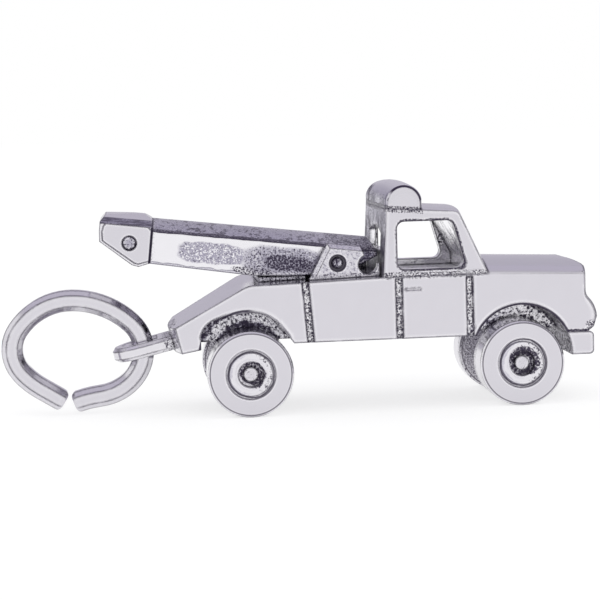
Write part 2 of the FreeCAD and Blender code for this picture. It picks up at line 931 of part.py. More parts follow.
def cab_block(document, size, label):
    """The cab's outer form: flat sides and back, and a raked front curved across the truck."""
    block = new_body(document, label, at_x=size.axle_middle)
    foot = screen_x(size, size.belt_height) + size.screen_bulge + size.cut_reach
    brow = size.roof_front_reach + size.screen_bulge + size.cut_reach
    outer = new_sketch(block, label + "_profile", "XZ_Plane")
    polygon(outer, [
        (-size.cab_back, size.belt_height),
        (foot, size.belt_height),
        (brow, roof_height(size, brow)),
        (size.cab_back_top, size.roof_rear_height),
    ])
    pad(block, outer, size.truck_width)
    roof_crown(block, size, label, brow)
    radius, bulge = screen_radius(size)
    half = size.truck_width / 2
    over = half + size.cut_reach
    sketch = screen_sketch(block, size, label + "_front", size.screen_bottom)
    outline = Outline(sketch, -bulge, -half)
    outline.arc(-bulge, half, radius, 1)
    outline.line(-bulge, over)
    outline.line(size.cut_reach * 2, over)
    outline.line(size.cut_reach * 2, -over)
    outline.line(-bulge, -over)
    pocket(block, outline.close(), size.truck_width * 2)
    return block


def make_cab(document, size):
    """The hollow cab above the belt line, open below, with its windows cut."""
    cab = cab_block(document, size, "cab")
    reach = size.roof_front_reach.value - PLACE_TOLERANCE
    height = size.roof_front_height.value - PLACE_TOLERANCE

    def brow_edges(edge):
        return all(vertex.X > reach and vertex.Z > height for vertex in edge.Vertexes)

    dress(cab, "Fillet", cab.Tip, brow_edges, size.roof_round)
    side_windows(cab, size)
    cab_space(cab, size)
    end_windows(cab, size)
    return cab


def cab_space(cab, size):
    """The space inside, open to the belt line."""
    inner_roof = size.roof_front_height - size.roof_thickness
    below = size.belt_height - size.cut_reach
    sketch = new_sketch(cab, "cab_space", "XZ_Plane")
    polygon(sketch, [
        (size.cab_rear_wall - size.cab_back, below),
        (size.screen_foot_reach - size.screen_wall, below),
        (size.screen_foot_reach - size.screen_wall, size.screen_foot_height),
        (size.roof_front_reach - size.screen_wall, inner_roof),
        (size.cab_rear_wall + size.cab_back_top, inner_roof),
    ])
    pocket(cab, sketch, size.truck_width - size.cab_wall * 2)


def side_windows(cab, size):
    """One opening each side, upright at the back and raked like the windscreen at the front."""
    places = [
        (size.window_back, size.window_bottom),
        (size.window_front_bottom, size.window_bottom),
        (size.window_front_top, size.window_top),
        (size.window_back, size.window_top),
    ]
    for side in (-1, 1):
        name = "right_window" if side < 0 else "left_window"
        sketch = new_sketch(cab, name, "XZ_Plane", (size.truck_width / 2 + size.cut_reach) * -side)
        polygon(sketch, places)
        cut = pocket(cab, sketch, size.cab_wall + size.cut_reach, symmetric=False, reverse=side > 0)
    dress(cab, "Fillet", cut, across_edges(places), size.window_round)


def end_windows(cab, size):
    """An arched rear window and the windscreen, which is cast closed."""
    half = size.rear_window_width / 2
    outline = Outline(new_sketch(cab, "rear_window", "YZ_Plane", size.cab_rear_wall * 2), -half,
                      size.rear_window_bottom)
    outline.line(half, size.rear_window_bottom)
    outline.line(half, size.rear_window_shoulder)
    outline.arc(-half, size.rear_window_shoulder, size.rear_window_arch_radius, 1)
    pocket(cab, outline.close(), size.cab_wall * 3, symmetric=False, reverse=False)
    windscreen(cab, size)


def windscreen(cab, size):
    """The windscreen's pane: a shallow recess that follows the curve of the cab's front."""
    radius, _ = screen_radius(size)
    deep = radius - size.screen_recess
    half = size.truck_width / 2 - size.screen_post
    side = root(deep * deep - half * half) - radius
    middle = (size.screen_bottom + size.screen_top) / 2
    outline = Outline(screen_sketch(cab, size, "windscreen", middle), side, -half)
    outline.arc(side, half, deep, 1)
    outline.line(size.cut_reach, half)
    outline.line(size.cut_reach, -half)
    rise = size.screen_top - size.screen_bottom
    pocket(cab, outline.close(), rise / cosine(angle_of(screen_slope(size))))


# Beacon bar


def beacon_section(beacon, size, name, reach, inset):
    """A D-shaped cross-section of the light bar at a distance from the middle, its foot on the roof."""
    along = reach / (size.truck_width / 2)
    back = size.beacon_back + inset
    face = size.beacon_front - inset
    side_height = size.beacon_side_height - inset
    outline = Outline(new_sketch(beacon, name, "XZ_Plane", reach), back, roof_height(size, back))
    outline.line(face, roof_height(size, face))
    outline.line(face, side_height)
    half = (face - back) / 2
    rise = size.beacon_top - size.beacon_crown * along * along - inset - side_height
    outline.arc(back, side_height, (half * half + rise * rise) / (rise * 2), 1)
    return outline.close()


def make_beacon(document, size):
    """The light bar across the back of the roof: half-round, crowned along its length, with rounded ends."""
    beacon = new_body(document, "beacon", at_x=size.axle_middle)
    bend = size.beacon_end_round
    straight = size.truck_width / 2 - bend
    half_stations = []
    for step in range(BEACON_END_STEPS, -1, -1):
        angle = math.pi / 2 * step / BEACON_END_STEPS
        half_stations.append((straight + bend * math.sin(angle), bend * (1 - math.cos(angle))))
    for step in range(BEACON_CROWN_STEPS - 1, 0, -1):
        half_stations.append((straight * (step / BEACON_CROWN_STEPS), bend * 0))
    middle = [(straight * 0, bend * 0)]
    other_half = [(-reach, inset) for reach, inset in reversed(half_stations)]
    sections = []
    for number, (reach, inset) in enumerate(half_stations + middle + other_half):
        sections.append(beacon_section(beacon, size, f"beacon_section_{number}", reach, inset))
    loft = beacon.newObject("PartDesign::AdditiveLoft", "beacon_loft")
    loft.Profile = sections[0]
    loft.Sections = sections[1:]
    loft.Ruled = True
    finish_feature(beacon, loft)
    return beacon


# Boom brackets and the block that the boom rests on


def make_bracket(document, size, side):
    """One of the two plates that carry the boom. side is -1 on the truck's right and 1 on its left."""
    name = "bracket_right" if side < 0 else "bracket_left"
    bracket = new_body(document, name, at_x=size.axle_middle)
    toe = size.cab_back + size.bracket_toe_gap
    inner = bracket_inner(size)
    outer = inner + size.bracket_thickness
    sketch = new_sketch(bracket, name + "_profile", "XZ_Plane", inner * -side)
    polygon(sketch, [
        (-size.bracket_foot_back, bed_height(size, size.bracket_foot_back)),
        (-toe, bed_height(size, toe)),
        (-toe, size.bracket_toe_height),
        (-size.bracket_nose_x, size.bracket_nose_height),
        (-size.bracket_top_front, size.bracket_top_front_height),
        (-size.bracket_top_back, size.bracket_top_back_height),
    ])
    plate = pad(bracket, sketch, size.bracket_thickness, symmetric=False, reverse=side > 0)
    outer_y = outer.value * side
    toe_height = size.bracket_toe_height.value

    def outer_rim(edge):
        box = edge.BoundBox
        on_face = max(abs(box.YMin - outer_y), abs(box.YMax - outer_y)) < PLACE_TOLERANCE
        slant = box.XMax < PLACE_TOLERANCE - size.bracket_top_back.value
        top = box.ZMin > size.bracket_top_front_height.value - PLACE_TOLERANCE
        return on_face and box.ZMax > toe_height and (slant or top)

    dress(bracket, "Chamfer", plate, outer_rim, size.bracket_bevel)
    notch = new_sketch(bracket, name + "_notch", "XZ_Plane", outer * -side)
    circle(notch, -size.notch_x, size.notch_height, size.notch_radius)
    pocket(bracket, notch, size.bracket_thickness * 2 + size.cut_reach)
    bore = new_sketch(bracket, name + "_bore", "XZ_Plane", outer * -side)
    circle(bore, -size.pivot_reach, size.pivot_height, size.rivet_radius + size.seat_clearance)
    pocket(bracket, bore, size.bracket_thickness * 2 + size.cut_reach)
    recess = new_sketch(bracket, name + "_recess", "XZ_Plane", outer * -side)
    circle(recess, -size.pivot_reach, size.pivot_height, size.rivet_recess_radius)
    pocket(bracket, recess, size.rivet_recess_depth * 2)
    return bracket


def make_boom_base(document, size):
    """The low block on the bed under the boom."""
    base = new_body(document, "boom_base", at_x=size.axle_middle)
    sketch = new_sketch(base, "base_profile", "XZ_Plane")
    polygon(sketch, [
        (-size.base_back, bed_height(size, size.base_back)),
        (-size.base_front, bed_height(size, size.base_front)),
        (-size.base_front, size.base_seat),
        (-size.base_back, size.base_seat),
    ])
    pad(base, sketch, size.base_width)
    return base


# Boom, boom head and their pins, drawn along the boom's own axis from the pivot


def boom_frame(document, size, label):
    """A body whose origin is the boom's pivot and whose X axis lies along the boom."""
    return new_body(document, label, at_x=size.axle_middle - size.pivot_reach, at_z=size.pivot_height,
                    tilt=size.boom_tilt)


def crown_cut(body, size, name, half, edge, crown, rear, front):
    """Trims the top of a boom piece to a crowned cross-section."""
    rise = crown - edge
    radius = (half * half + rise * rise) / (rise * 2)
    over = crown + size.cut_reach
    beside = half + size.cut_reach
    outline = Outline(new_sketch(body, name, "YZ_Plane", -rear), -half, edge)
    outline.arc(half, edge, radius, -1)
    outline.line(beside, edge)
    outline.line(beside, over)
    outline.line(-beside, over)
    outline.line(-beside, edge)
    pocket(body, outline.close(), rear + front, symmetric=False, reverse=True)


def make_boom(document, size):
    """The tapered arm with its crowned top, a rounded front end and a belly cut level for its seat."""
    arm = boom_frame(document, size, "boom_arm")
    outline = Outline(new_sketch(arm, "boom_profile", "XZ_Plane"), -size.boom_rear, -size.boom_rear_bottom)
    outline.line(-size.boom_belly, -size.boom_belly_bottom)
    outline.line(size.boom_heel_back, -size.boom_heel_back_drop)
    outline.line(size.boom_heel_front, -size.boom_heel_front_drop)
    outline.line(size.boom_nose_reach, size.boom_nose_rise)
    outline.arc(size.boom_nose_top, size.boom_crown, size.boom_nose_radius, 1)
    outline.line(-size.boom_rear, size.boom_crown)
    pad(arm, outline.close(), size.boom_width)
    crown_cut(arm, size, "boom_crown", size.boom_width / 2, size.boom_edge, size.boom_crown,
              size.boom_rear + size.cut_reach, size.boom_nose_radius + size.cut_reach)
    bore = new_sketch(arm, "boom_bore", "XZ_Plane")
    circle(bore, 0, 0, size.rivet_radius + size.running_clearance)
    pocket(arm, bore, size.boom_width + size.cut_reach)
    seat = document.addObject("Part::Box", "boom_seat_cut")
    depth = size.cut_reach * 2
    width = size.boom_width + size.cut_reach
    bind(seat, "Length", size.base_back + depth)
    bind(seat, "Width", width)
    bind(seat, "Height", depth)
    bind(seat, "Placement.Base.x", size.axle_middle - size.base_back - depth)
    bind(seat, "Placement.Base.y", -width / 2)
    bind(seat, "Placement.Base.z", size.boom_seat - depth)
    boom = document.addObject("Part::Cut", "boom")
    boom.Base = arm
    boom.Tool = seat
    boom.Label = "boom"
    document.recompute()
    return boom


def make_boom_head(document, size):
    """The head on the end of the boom: a capped block with a proud cheek plate each side."""
    head = boom_frame(document, size, "boom_head")
    block = new_sketch(head, "head_block", "XZ_Plane")
    polygon(block, [
        (-size.head_joint, -size.head_joint_bottom),
        (-size.head_joint, size.head_joint_top),
        (-size.head_top_front, size.head_crown_front),
        (-size.head_top_back, size.head_crown_back),
        (-size.head_back, size.head_back_top_rise),
        (-size.head_back, size.head_back_rise),
        (-size.head_back_low, size.head_back_low_rise),
        (-size.head_chin_back, -size.head_chin_back_drop),
        (-size.head_chin, -size.head_chin_drop),
    ])
    pad(head, block, size.boom_width)
    head_cap(head, size)
    cheek = new_sketch(head, "head_cheeks", "XZ_Plane")
    polygon(cheek, [
        (-size.cheek_front_low, -size.cheek_front_drop),
        (-size.cheek_front, size.cheek_front_rise),
        (-size.cheek_front_top, size.cheek_top),
        (-size.cheek_back_top, size.cheek_top),
        (-size.cheek_back_high, size.cheek_back_high_rise),
        (-size.cheek_back, size.cheek_back_rise),
        (-size.cheek_back_low, size.cheek_back_low_rise),
        (-size.cheek_chin_back, -size.cheek_chin_back_drop),
        (-size.cheek_chin, -size.cheek_chin_drop),
    ])
    pad(head, cheek, size.boom_width + size.cheek_thickness * 2)
    bore = new_sketch(head, "head_bore", "XZ_Plane")
    circle(bore, -size.head_pin_reach, size.head_pin_rise, size.head_pin_radius + size.seat_clearance)
    pocket(head, bore, size.boom_width + size.cut_reach * 2)
    return head


def head_cap(head, size):
    """Cuts the block's top back to a narrower, crowned cap above the cheek plates."""
    wide = size.boom_width / 2
    narrow = size.head_cap_width / 2
    over = size.head_crown_front + size.cut_reach
    beside = wide + size.cut_reach
    sketch = new_sketch(head, "head_cap", "YZ_Plane", -(size.head_back + size.cut_reach))
    outline = Outline(sketch, -wide, size.head_cheek_step)
    outline.line(-narrow, size.head_cap_rise)
    outline.arc(narrow, size.head_cap_rise, size.head_cap_crown_radius, -1)
    outline.line(wide, size.head_cheek_step)
    outline.line(beside, size.head_cheek_step)
    outline.line(beside, over)
    outline.line(-beside, over)
    outline.line(-beside, size.head_cheek_step)
    length = size.head_back - size.head_joint + size.cut_reach * 2
    pocket(head, outline.close(), length, symmetric=False, reverse=True)


def plain_pin(document, size, label, x, z, radius, length):
    """A straight pin across the boom."""
    pin = boom_frame(document, size, label)
    sketch = new_sketch(pin, label + "_round", "XZ_Plane")
    circle(sketch, x, z, radius)
    pad(pin, sketch, length)
    return pin


def make_boom_pin(document, size):
    """The rivet that the boom turns on, peened in the recesses of both brackets."""
    reach = size.bracket_thickness - size.rivet_recess_depth / 2
    length = (bracket_inner(size) + reach) * 2
    return plain_pin(document, size, "boom_pin", 0, 0, size.rivet_radius, length)


def make_head_pin(document, size):
    """The pin through the boom's head, its ends a little below the cheek plates."""
    reach = size.cheek_thickness - size.head_pin_recess
    return plain_pin(document, size, "head_pin", -size.head_pin_reach, size.head_pin_rise,
                     size.head_pin_radius, size.boom_width + reach * 2)


# Axles and wheels


def make_axle(document, size, end):
    """A shaft with a peened head at each side, sunk in the wheels' hubs."""
    label = "front_axle" if end > 0 else "rear_axle"
    axle = new_body(document, label, at_x=size.axle_middle + axle_x(size, end), at_z=size.wheel_radius)
    head_inner = size.truck_width / 2 - size.hub_recess_depth + size.running_clearance
    head_outer = head_inner + size.axle_head_length - size.axle_head_dome
    tip = head_inner + size.axle_head_length
    rise = size.axle_head_dome
    dome = (size.axle_head_radius * size.axle_head_radius + rise * rise) / (rise * 2)
    outline = Outline(new_sketch(axle, label + "_profile", "XY_Plane"), 0, -tip)
    outline.arc(size.axle_head_radius, -head_outer, dome, 1)
    outline.line(size.axle_head_radius, -head_inner)
    outline.line(size.axle_radius, -head_inner)
    outline.line(size.axle_radius, head_inner)
    outline.line(size.axle_head_radius, head_inner)
    outline.line(size.axle_head_radius, head_outer)
    outline.arc(0, tip, dome, 1)
    revolve(axle, outline.close())
    return axle


def make_wheel(document, size, end, side):
    """A disc wheel turned from one piece: tyre face, ring groove, hub and a sunk seat for the axle head."""
    label = ("front" if end > 0 else "rear") + ("_right" if side < 0 else "_left") + "_wheel"
    wheel = new_body(document, label, at_x=size.axle_middle + axle_x(size, end), at_z=size.wheel_radius)
    face = size.truck_width / 2
    inner = face - size.wheel_thickness
    bore = size.axle_radius + size.running_clearance
    seat = face - size.hub_recess_depth
    groove = face - size.hub_groove_depth
    outline = Outline(new_sketch(wheel, label + "_profile", "XY_Plane"), bore, inner * side)
    outline.line(size.wheel_radius - size.wheel_edge, inner * side)
    outline.line(size.wheel_radius, (inner + size.wheel_edge) * side)
    outline.line(size.wheel_radius, (face - size.wheel_edge) * side)
    outline.line(size.wheel_radius - size.wheel_edge, face * side)
    outline.line(size.tyre_inner_radius, face * side)
    outline.line(size.tyre_inner_radius, groove * side)
    outline.line(size.hub_radius, groove * side)
    outline.line(size.hub_radius, (face - size.wheel_edge / 2) * side)
    outline.line(size.hub_recess_radius, (face - size.wheel_edge / 2) * side)
    outline.line(size.hub_recess_radius, seat * side)
    outline.line(bore, seat * side)
    revolve(wheel, outline.close())
    return wheel


# Bail and jump ring


def bail_place(size):
    """Where the bail meets the tail: the middle of the sloping tail face."""
    run = (size.tail_top - size.bail_centre_height) * tangent(size.tail_tilt)
    return rear(size, size.tail_overhang - run)


def make_bail(document, size):
    """A flat elongated loop that stands out from the tail, square to its end face."""
    bail = new_body(document, "bail", at_x=size.axle_middle + bail_place(size),
                    at_z=size.bail_centre_height, tilt=-size.tail_tilt)
    half = size.bail_width / 2
    hole = half - size.bail_bar
    bend = tail_end_radius(size)
    root_sag = bend - root(bend * bend - half * half)
    outline = Outline(new_sketch(bail, "bail_profile", "XY_Plane"), root_sag, -half)
    outline.arc(root_sag, half, bend, -1)
    outline.line(half - size.bail_length, half)
    outline.arc(half - size.bail_length, -half, half, 1, smooth=True)
    loop = pad(bail, outline.close(), size.bail_thickness)
    outline = Outline(new_sketch(bail, "bail_hole", "XY_Plane"), -size.bail_root, -hole)
    outline.line(-size.bail_root, hole)
    outline.line(half - size.bail_length, hole)
    outline.arc(half - size.bail_length, -hole, hole, 1, smooth=True)
    loop = pocket(bail, outline.close(), size.bail_thickness + size.cut_reach)

    def long_edges(edge):
        box = edge.BoundBox
        return box.ZLength < PLACE_TOLERANCE and box.XMin < -size.bail_root.value - PLACE_TOLERANCE

    dress(bail, "Chamfer", loop, long_edges, size.bail_bevel)
    return bail


class Route:
    """An open path: a straight first stretch, then arcs that carry on from it without a corner."""

    def __init__(self, sketch, start, second):
        self.sketch = sketch
        first = Vector(*start, 0)
        here = Vector(*second, 0)
        geometry = sketch.addGeometry(Part.LineSegment(first, here))
        pin_point(sketch, geometry, START, as_size(start[0]), as_size(start[1]))
        pin_point(sketch, geometry, END, as_size(second[0]), as_size(second[1]))
        self.here = here
        self.heading = (here - first).normalize()
        self.last = (geometry, END)

    def arc_to(self, place):
        target = Vector(*place, 0)
        chord = target - self.here
        normal = Vector(-self.heading.y, self.heading.x, 0)
        reach = chord.dot(chord) / (2 * chord.dot(normal))
        centre = self.here + normal * reach
        side = 1 if reach > 0 else -1
        geometry = self.sketch.addGeometry(round_stretch(self.here, target, Size(abs(reach), ""), side))
        begin, finish = (START, END) if side > 0 else (END, START)
        tangency = Sketcher.Constraint("Tangent", self.last[0], self.last[1], geometry, begin)
        self.sketch.addConstraint(tangency)
        pin_point(self.sketch, geometry, finish, as_size(place[0]), as_size(place[1]))
        arm = target - centre
        self.heading = (Vector(-arm.y, arm.x, 0) * side).normalize()
        self.here = target
        self.last = (geometry, finish)
        return self


def ring_hinge(size):
    """The middle of the bail's end bar, as a distance along X and a height."""
    along = size.bail_length - size.hinge_from_bail_end
    lean = size.tail_tilt
    return bail_place(size) - along * cosine(lean), size.bail_centre_height - along * sine(lean)


def make_jump_ring(document, size):
    """The oval split ring: flat-sided wire bent round from one side of its split to the other."""
    hinge_x, hinge_z = ring_hinge(size)
    ring = new_body(document, "jump_ring", at_x=size.axle_middle + hinge_x, at_z=hinge_z - size.ring_drop,
                    tilt=-size.ring_turn)
    places = list(RING_POINTS.values())
    path = new_sketch(ring, "ring_path", "XZ_Plane")
    route = Route(path, places[0], places[1])
    for place in places[2:]:
        route.arc_to(place)
    start = Vector(*places[0], 0)
    along = (Vector(*places[1], 0) - start).normalize()
    section = ring.newObject("Sketcher::SketchObject", "ring_section")
    section.AttachmentSupport = [(path, "Edge1")]
    section.MapMode = "NormalToEdge"
    section.MapPathParameter = 0
    document.recompute()
    half_wire = size.ring_wire / 2
    half_thick = size.ring_thickness / 2
    local_y = section.Placement.Rotation.multVec(Vector(0, 1, 0))
    if abs(local_y.y) > 0.5:
        half_x, half_y = half_wire, half_thick
    else:
        half_x, half_y = half_thick, half_wire
    bevel = size.ring_bevel
    polygon(section, [
        (-half_x + bevel, -half_y),
        (half_x - bevel, -half_y),
        (half_x, -half_y + bevel),
        (half_x, half_y - bevel),
        (half_x - bevel, half_y),
        (-half_x + bevel, half_y),
        (-half_x, half_y - bevel),
        (-half_x, -half_y + bevel),
    ])
    pipe = ring.newObject("PartDesign::AdditivePipe", "ring_wire")
    pipe.Profile = section
    pipe.Spine = (path, [])
    finish_feature(ring, pipe)
    ends = [face for face in pipe.Shape.Faces if len(face.Edges) == section.GeometryCount]

    def end_rim(edge):
        return any(edge.isSame(other) for face in ends for other in face.Edges)

    dress(ring, "Fillet", pipe, end_rim, size.ring_end_round)
    return ring


def check_document(document, parts):
    """Stops if any object failed or any sub-part isn't one sound solid."""
    for thing in document.Objects:
        if "Invalid" in thing.State or "Error" in thing.State:
            raise RuntimeError(f"{thing.Label}: {thing.State}")
    for part in parts:
        shape = part.Shape
        if shape.isNull() or not shape.isValid() or len(shape.Solids) != 1:
            raise RuntimeError(f"{part.Label}: {len(shape.Solids)} solids")


def main():
    document = FreeCAD.newDocument("TowTruckCharm")
    size = SizeSheet(document, SIZES)
    parts = [
        make_body(document, size),
        make_bumper(document, size),
        make_cab(document, size),
        make_beacon(document, size),
        make_boom_base(document, size),
        make_boom(document, size),
        make_boom_head(document, size),
        make_boom_pin(document, size),
        make_head_pin(document, size),
        make_bail(document, size),
        make_jump_ring(document, size),
    ]
    for side in (-1, 1):
        parts.append(make_bracket(document, size, side))
    for end in (1, -1):
        parts.append(make_axle(document, size, end))
        for side in (-1, 1):
            parts.append(make_wheel(document, size, end, side))
    document.recompute()
    check_document(document, parts)
    os.makedirs("parts", exist_ok=True)
    for part in parts:
        part.Shape.exportStep(f"parts/{part.Label}.step")
        box = part.Shape.BoundBox
        print(f"{part.Label:18s} volume {part.Shape.Volume:8.3f}  x {box.XMin:7.2f} {box.XMax:7.2f}"
              f"  y {box.YMin:6.2f} {box.YMax:6.2f}  z {box.ZMin:6.2f} {box.ZMax:6.2f}")


main()
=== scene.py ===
from collections import namedtuple
import json
import math

import bpy
from mathutils import Matrix, Vector


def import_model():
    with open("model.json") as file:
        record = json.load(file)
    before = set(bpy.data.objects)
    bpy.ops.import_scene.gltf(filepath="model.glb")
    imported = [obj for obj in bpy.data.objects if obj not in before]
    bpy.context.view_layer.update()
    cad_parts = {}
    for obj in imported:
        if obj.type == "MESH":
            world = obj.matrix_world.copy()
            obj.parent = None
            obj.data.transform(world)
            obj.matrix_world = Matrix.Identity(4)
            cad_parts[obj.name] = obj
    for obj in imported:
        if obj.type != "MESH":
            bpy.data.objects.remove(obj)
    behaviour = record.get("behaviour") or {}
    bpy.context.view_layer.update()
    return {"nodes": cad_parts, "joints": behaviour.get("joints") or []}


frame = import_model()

# Lengths are in millimetres: x runs to the nose, y to the left side and z up from the ground
MM = 0.001

# Places in the side view, as (x, z)
joint_places = {joint["name"]: (joint["pos_m"][0] / MM, joint["pos_m"][2] / MM) for joint in frame["joints"]}
FRONT_AXLE = joint_places["front_right_wheel_roll"]
REAR_AXLE = joint_places["rear_right_wheel_roll"]
PIVOT = joint_places["boom_raise"]
HEAD_PIN = (-8.66, 9.21)
FRONT_ARCH = (FRONT_AXLE[0], 2.68)
REAR_ARCH = (REAR_AXLE[0], 2.85)
NOSE_SCAR = (15.34, 4.10)

# Sizes of the truck
HALF_WIDTH = 4.0
TAIL_START = -0.99
TAIL_NARROWING = 0.181
ARCH_RADIUS = 2.65
DOOR_BASE = 3.80
DOOR_TOP = 6.98
DOOR_MIDDLE = 5.4
DOOR_LINES = ((0.43, 0.22), (5.21, 0.0), (8.93, 0.0))
LEAN_HEIGHT = 3.07
ROOF_BACK = (4.63, 10.62)
ROOF_FALL = 0.066
SCREEN_FOOT = (9.63, 7.72)
SCREEN_RAKE = 0.453
WINDOW_REAR = 5.17
WINDOW_SILL = 7.42
WINDOW_TOP = 9.90
WINDOW_FRONT = 8.78
WINDOW_POST = (0.69, 2.48)
WINDOW_CORNER = 0.38
BOOM_TILT = math.radians(7.04)
BOOM_UNDER_EDGE = 1.215
BOOM_TAPER = 0.0323
RIVET_RADIUS = 0.28
HEAD_PIN_RADIUS = 0.36

# Colours, linear. The bright colour also paints highlights, the dull colour also paints shade, and the oxide
# colour also paints shade and dark reflection lines
SILVER = (0.660, 0.643, 0.690, 1.0)
BRIGHT_AND_HIGHLIGHT = (0.93, 0.92, 0.945, 1.0)
DULL_AND_SHADE = (0.345, 0.325, 0.425, 1.0)
OXIDE_AND_SHADE = (0.045, 0.034, 0.068, 1.0)
WHITE = (1.0, 1.0, 1.0, 1.0)
FLOOR_GREY = (0.38, 0.38, 0.385, 1.0)
ROOM_VIOLET = (0.95, 0.91, 1.04, 1.0)

# The middle of every noise, which runs from 0 to 1
MIDDLE = 0.5

# A step is where a mask grows from nothing to full, and a band is where it is full

# Steps on a noise
GLINT_GRAINS = (0.52, 0.64)
COARSE_GLINT_GRAINS = (0.52, 0.60)
RIM_BREAKS = (0.30, 0.50)
POLISH_CLOUDS = (0.3, 0.7)

# Steps on how far a sharp edge bends the surface, where a dark reflection line and a highlight are painted,
# and on how open a hollow is
RIM_BEND = (0.010, 0.045)
EDGE_HIGHLIGHT_BEND = (0.004, 0.05)
HOLLOW = (0.82, 0.42)

# Steps on how thick the oxide lies
GRAIN_TURNS_DARK = (0.76, 1.24)
SKIN_STARTS = (0.02, 0.12)
METAL_ENDS = (0.5, 1.0)

# How the surface is broken up: the contrast of the grains, the roughness that clouds add to
# the polish, and the heights of the bumps
GRAIN_CONTRAST = 2.6
POLISH_SPREAD = (-0.02, 0.04)
WAVE_HEIGHT = 0.03
GRAIN_HEIGHT = 0.07

# The Mix node repeats its socket names for each kind of data, so its colour sockets go by number
MIX_FACTOR, MIX_A, MIX_B = 0, 6, 7
MIX_RESULT = 2


def moved(step, by):
    """A step or band moved by a distance."""
    return step[0] + by, step[1] + by


class Graph:
    """Writes a node tree as code. Every value may be a number or a socket, and masks run from 0 to 1."""

    def __init__(self, tree):
        self.tree = tree
        self.tree.nodes.clear()

    def node(self, kind, inputs=None, **settings):
        made = self.tree.nodes.new(kind)
        for key, value in settings.items():
            setattr(made, key, value)
        for key, value in (inputs or {}).items():
            self.feed(made.inputs[key], value)
        return made

    def feed(self, socket, value):
        if isinstance(value, bpy.types.NodeSocket):
            self.tree.links.new(value, socket)
        else:
            socket.default_value = value

    def math(self, operation, first, second=0.0):
        made = self.node("ShaderNodeMath", {0: first, 1: second}, operation=operation)
        return made.outputs[0]

    def fold(self, operation, values):
        total = values[0]
        for value in values[1:]:
            total = self.math(operation, total, value)
        return total

    def add(self, *values):
        return self.fold("ADD", values)

    def mul(self, *values):
        return self.fold("MULTIPLY", values)

    def high(self, *values):
        return self.fold("MAXIMUM", values)

    def low(self, *values):
        return self.fold("MINIMUM", values)

    def sub(self, first, second):
        return self.math("SUBTRACT", first, second)

    def absolute(self, value):
        return self.math("ABSOLUTE", value)

    def cube(self, value):
        return self.math("POWER", value, 3.0)

    def length(self, across, up):
        return self.math("SQRT", self.add(self.mul(across, across), self.mul(up, up)))

    def rest(self, mask):
        """What a mask leaves."""
        return self.sub(1.0, mask)

    def lessened(self, level, mask, by):
        return self.sub(level, self.mul(mask, by))

    def raised(self, level, mask, by):
        return self.add(level, self.mul(mask, by))

    def overlap(self, *masks, strength=None):
        """Where several masks all lie, at a strength."""
        factors = masks if strength is None else (*masks, strength)
        return self.mul(*factors)

    def strongest(self, *masks):
        """The strongest of several masks. A tuple is multiplied out: masks that overlap, or a mask
        and its strength."""
        return self.high(*[self.mul(*mask) if isinstance(mask, tuple) else mask for mask in masks])

    def span(self, value, step, levels=(0.0, 1.0)):
        """A soft step: from the first level at the first place to the second level at the second."""
        made = self.node("ShaderNodeMapRange", {"Value": value}, interpolation_type="SMOOTHSTEP")
        (start, at_start), (end, at_end) = sorted(zip(step, levels))
        limits = {"From Min": start, "From Max": end, "To Min": at_start, "To Max": at_end}
        for key, number in limits.items():
            made.inputs[key].default_value = number
        return made.outputs["Result"]

    def between(self, value, band, soft=0.05):
        """1 where a value lies in a band, with soft ends."""
        start, end = band
        after_start = self.span(value, (start - soft, start + soft))
        before_end = self.span(value, (end + soft, end - soft))
        return self.mul(after_start, before_end)

    def noise(self, place, scale, detail=2.0, roughness=0.5):
        """A noise with so many waves to the metre."""
        inputs = {"Vector": place, "Scale": scale, "Detail": detail, "Roughness": roughness}
        return self.node("ShaderNodeTexNoise", inputs).outputs["Fac"]

    def stretched(self, place, scale):
        """Places scaled along each axis. A scale below 1 draws a noise out along that axis."""
        return self.node("ShaderNodeMapping", {"Vector": place, "Scale": scale}).outputs[0]

    def mix(self, factor, first, second):
        made = self.node("ShaderNodeMix", data_type="RGBA")
        self.feed(made.inputs[MIX_FACTOR], factor)
        self.feed(made.inputs[MIX_A], first)
        self.feed(made.inputs[MIX_B], second)
        return made.outputs[MIX_RESULT]

    def bump(self, height, strength, distance, normal):
        inputs = {"Distance": distance * MM, "Strength": strength, "Height": height, "Normal": normal}
        return self.node("ShaderNodeBump", inputs).outputs["Normal"]


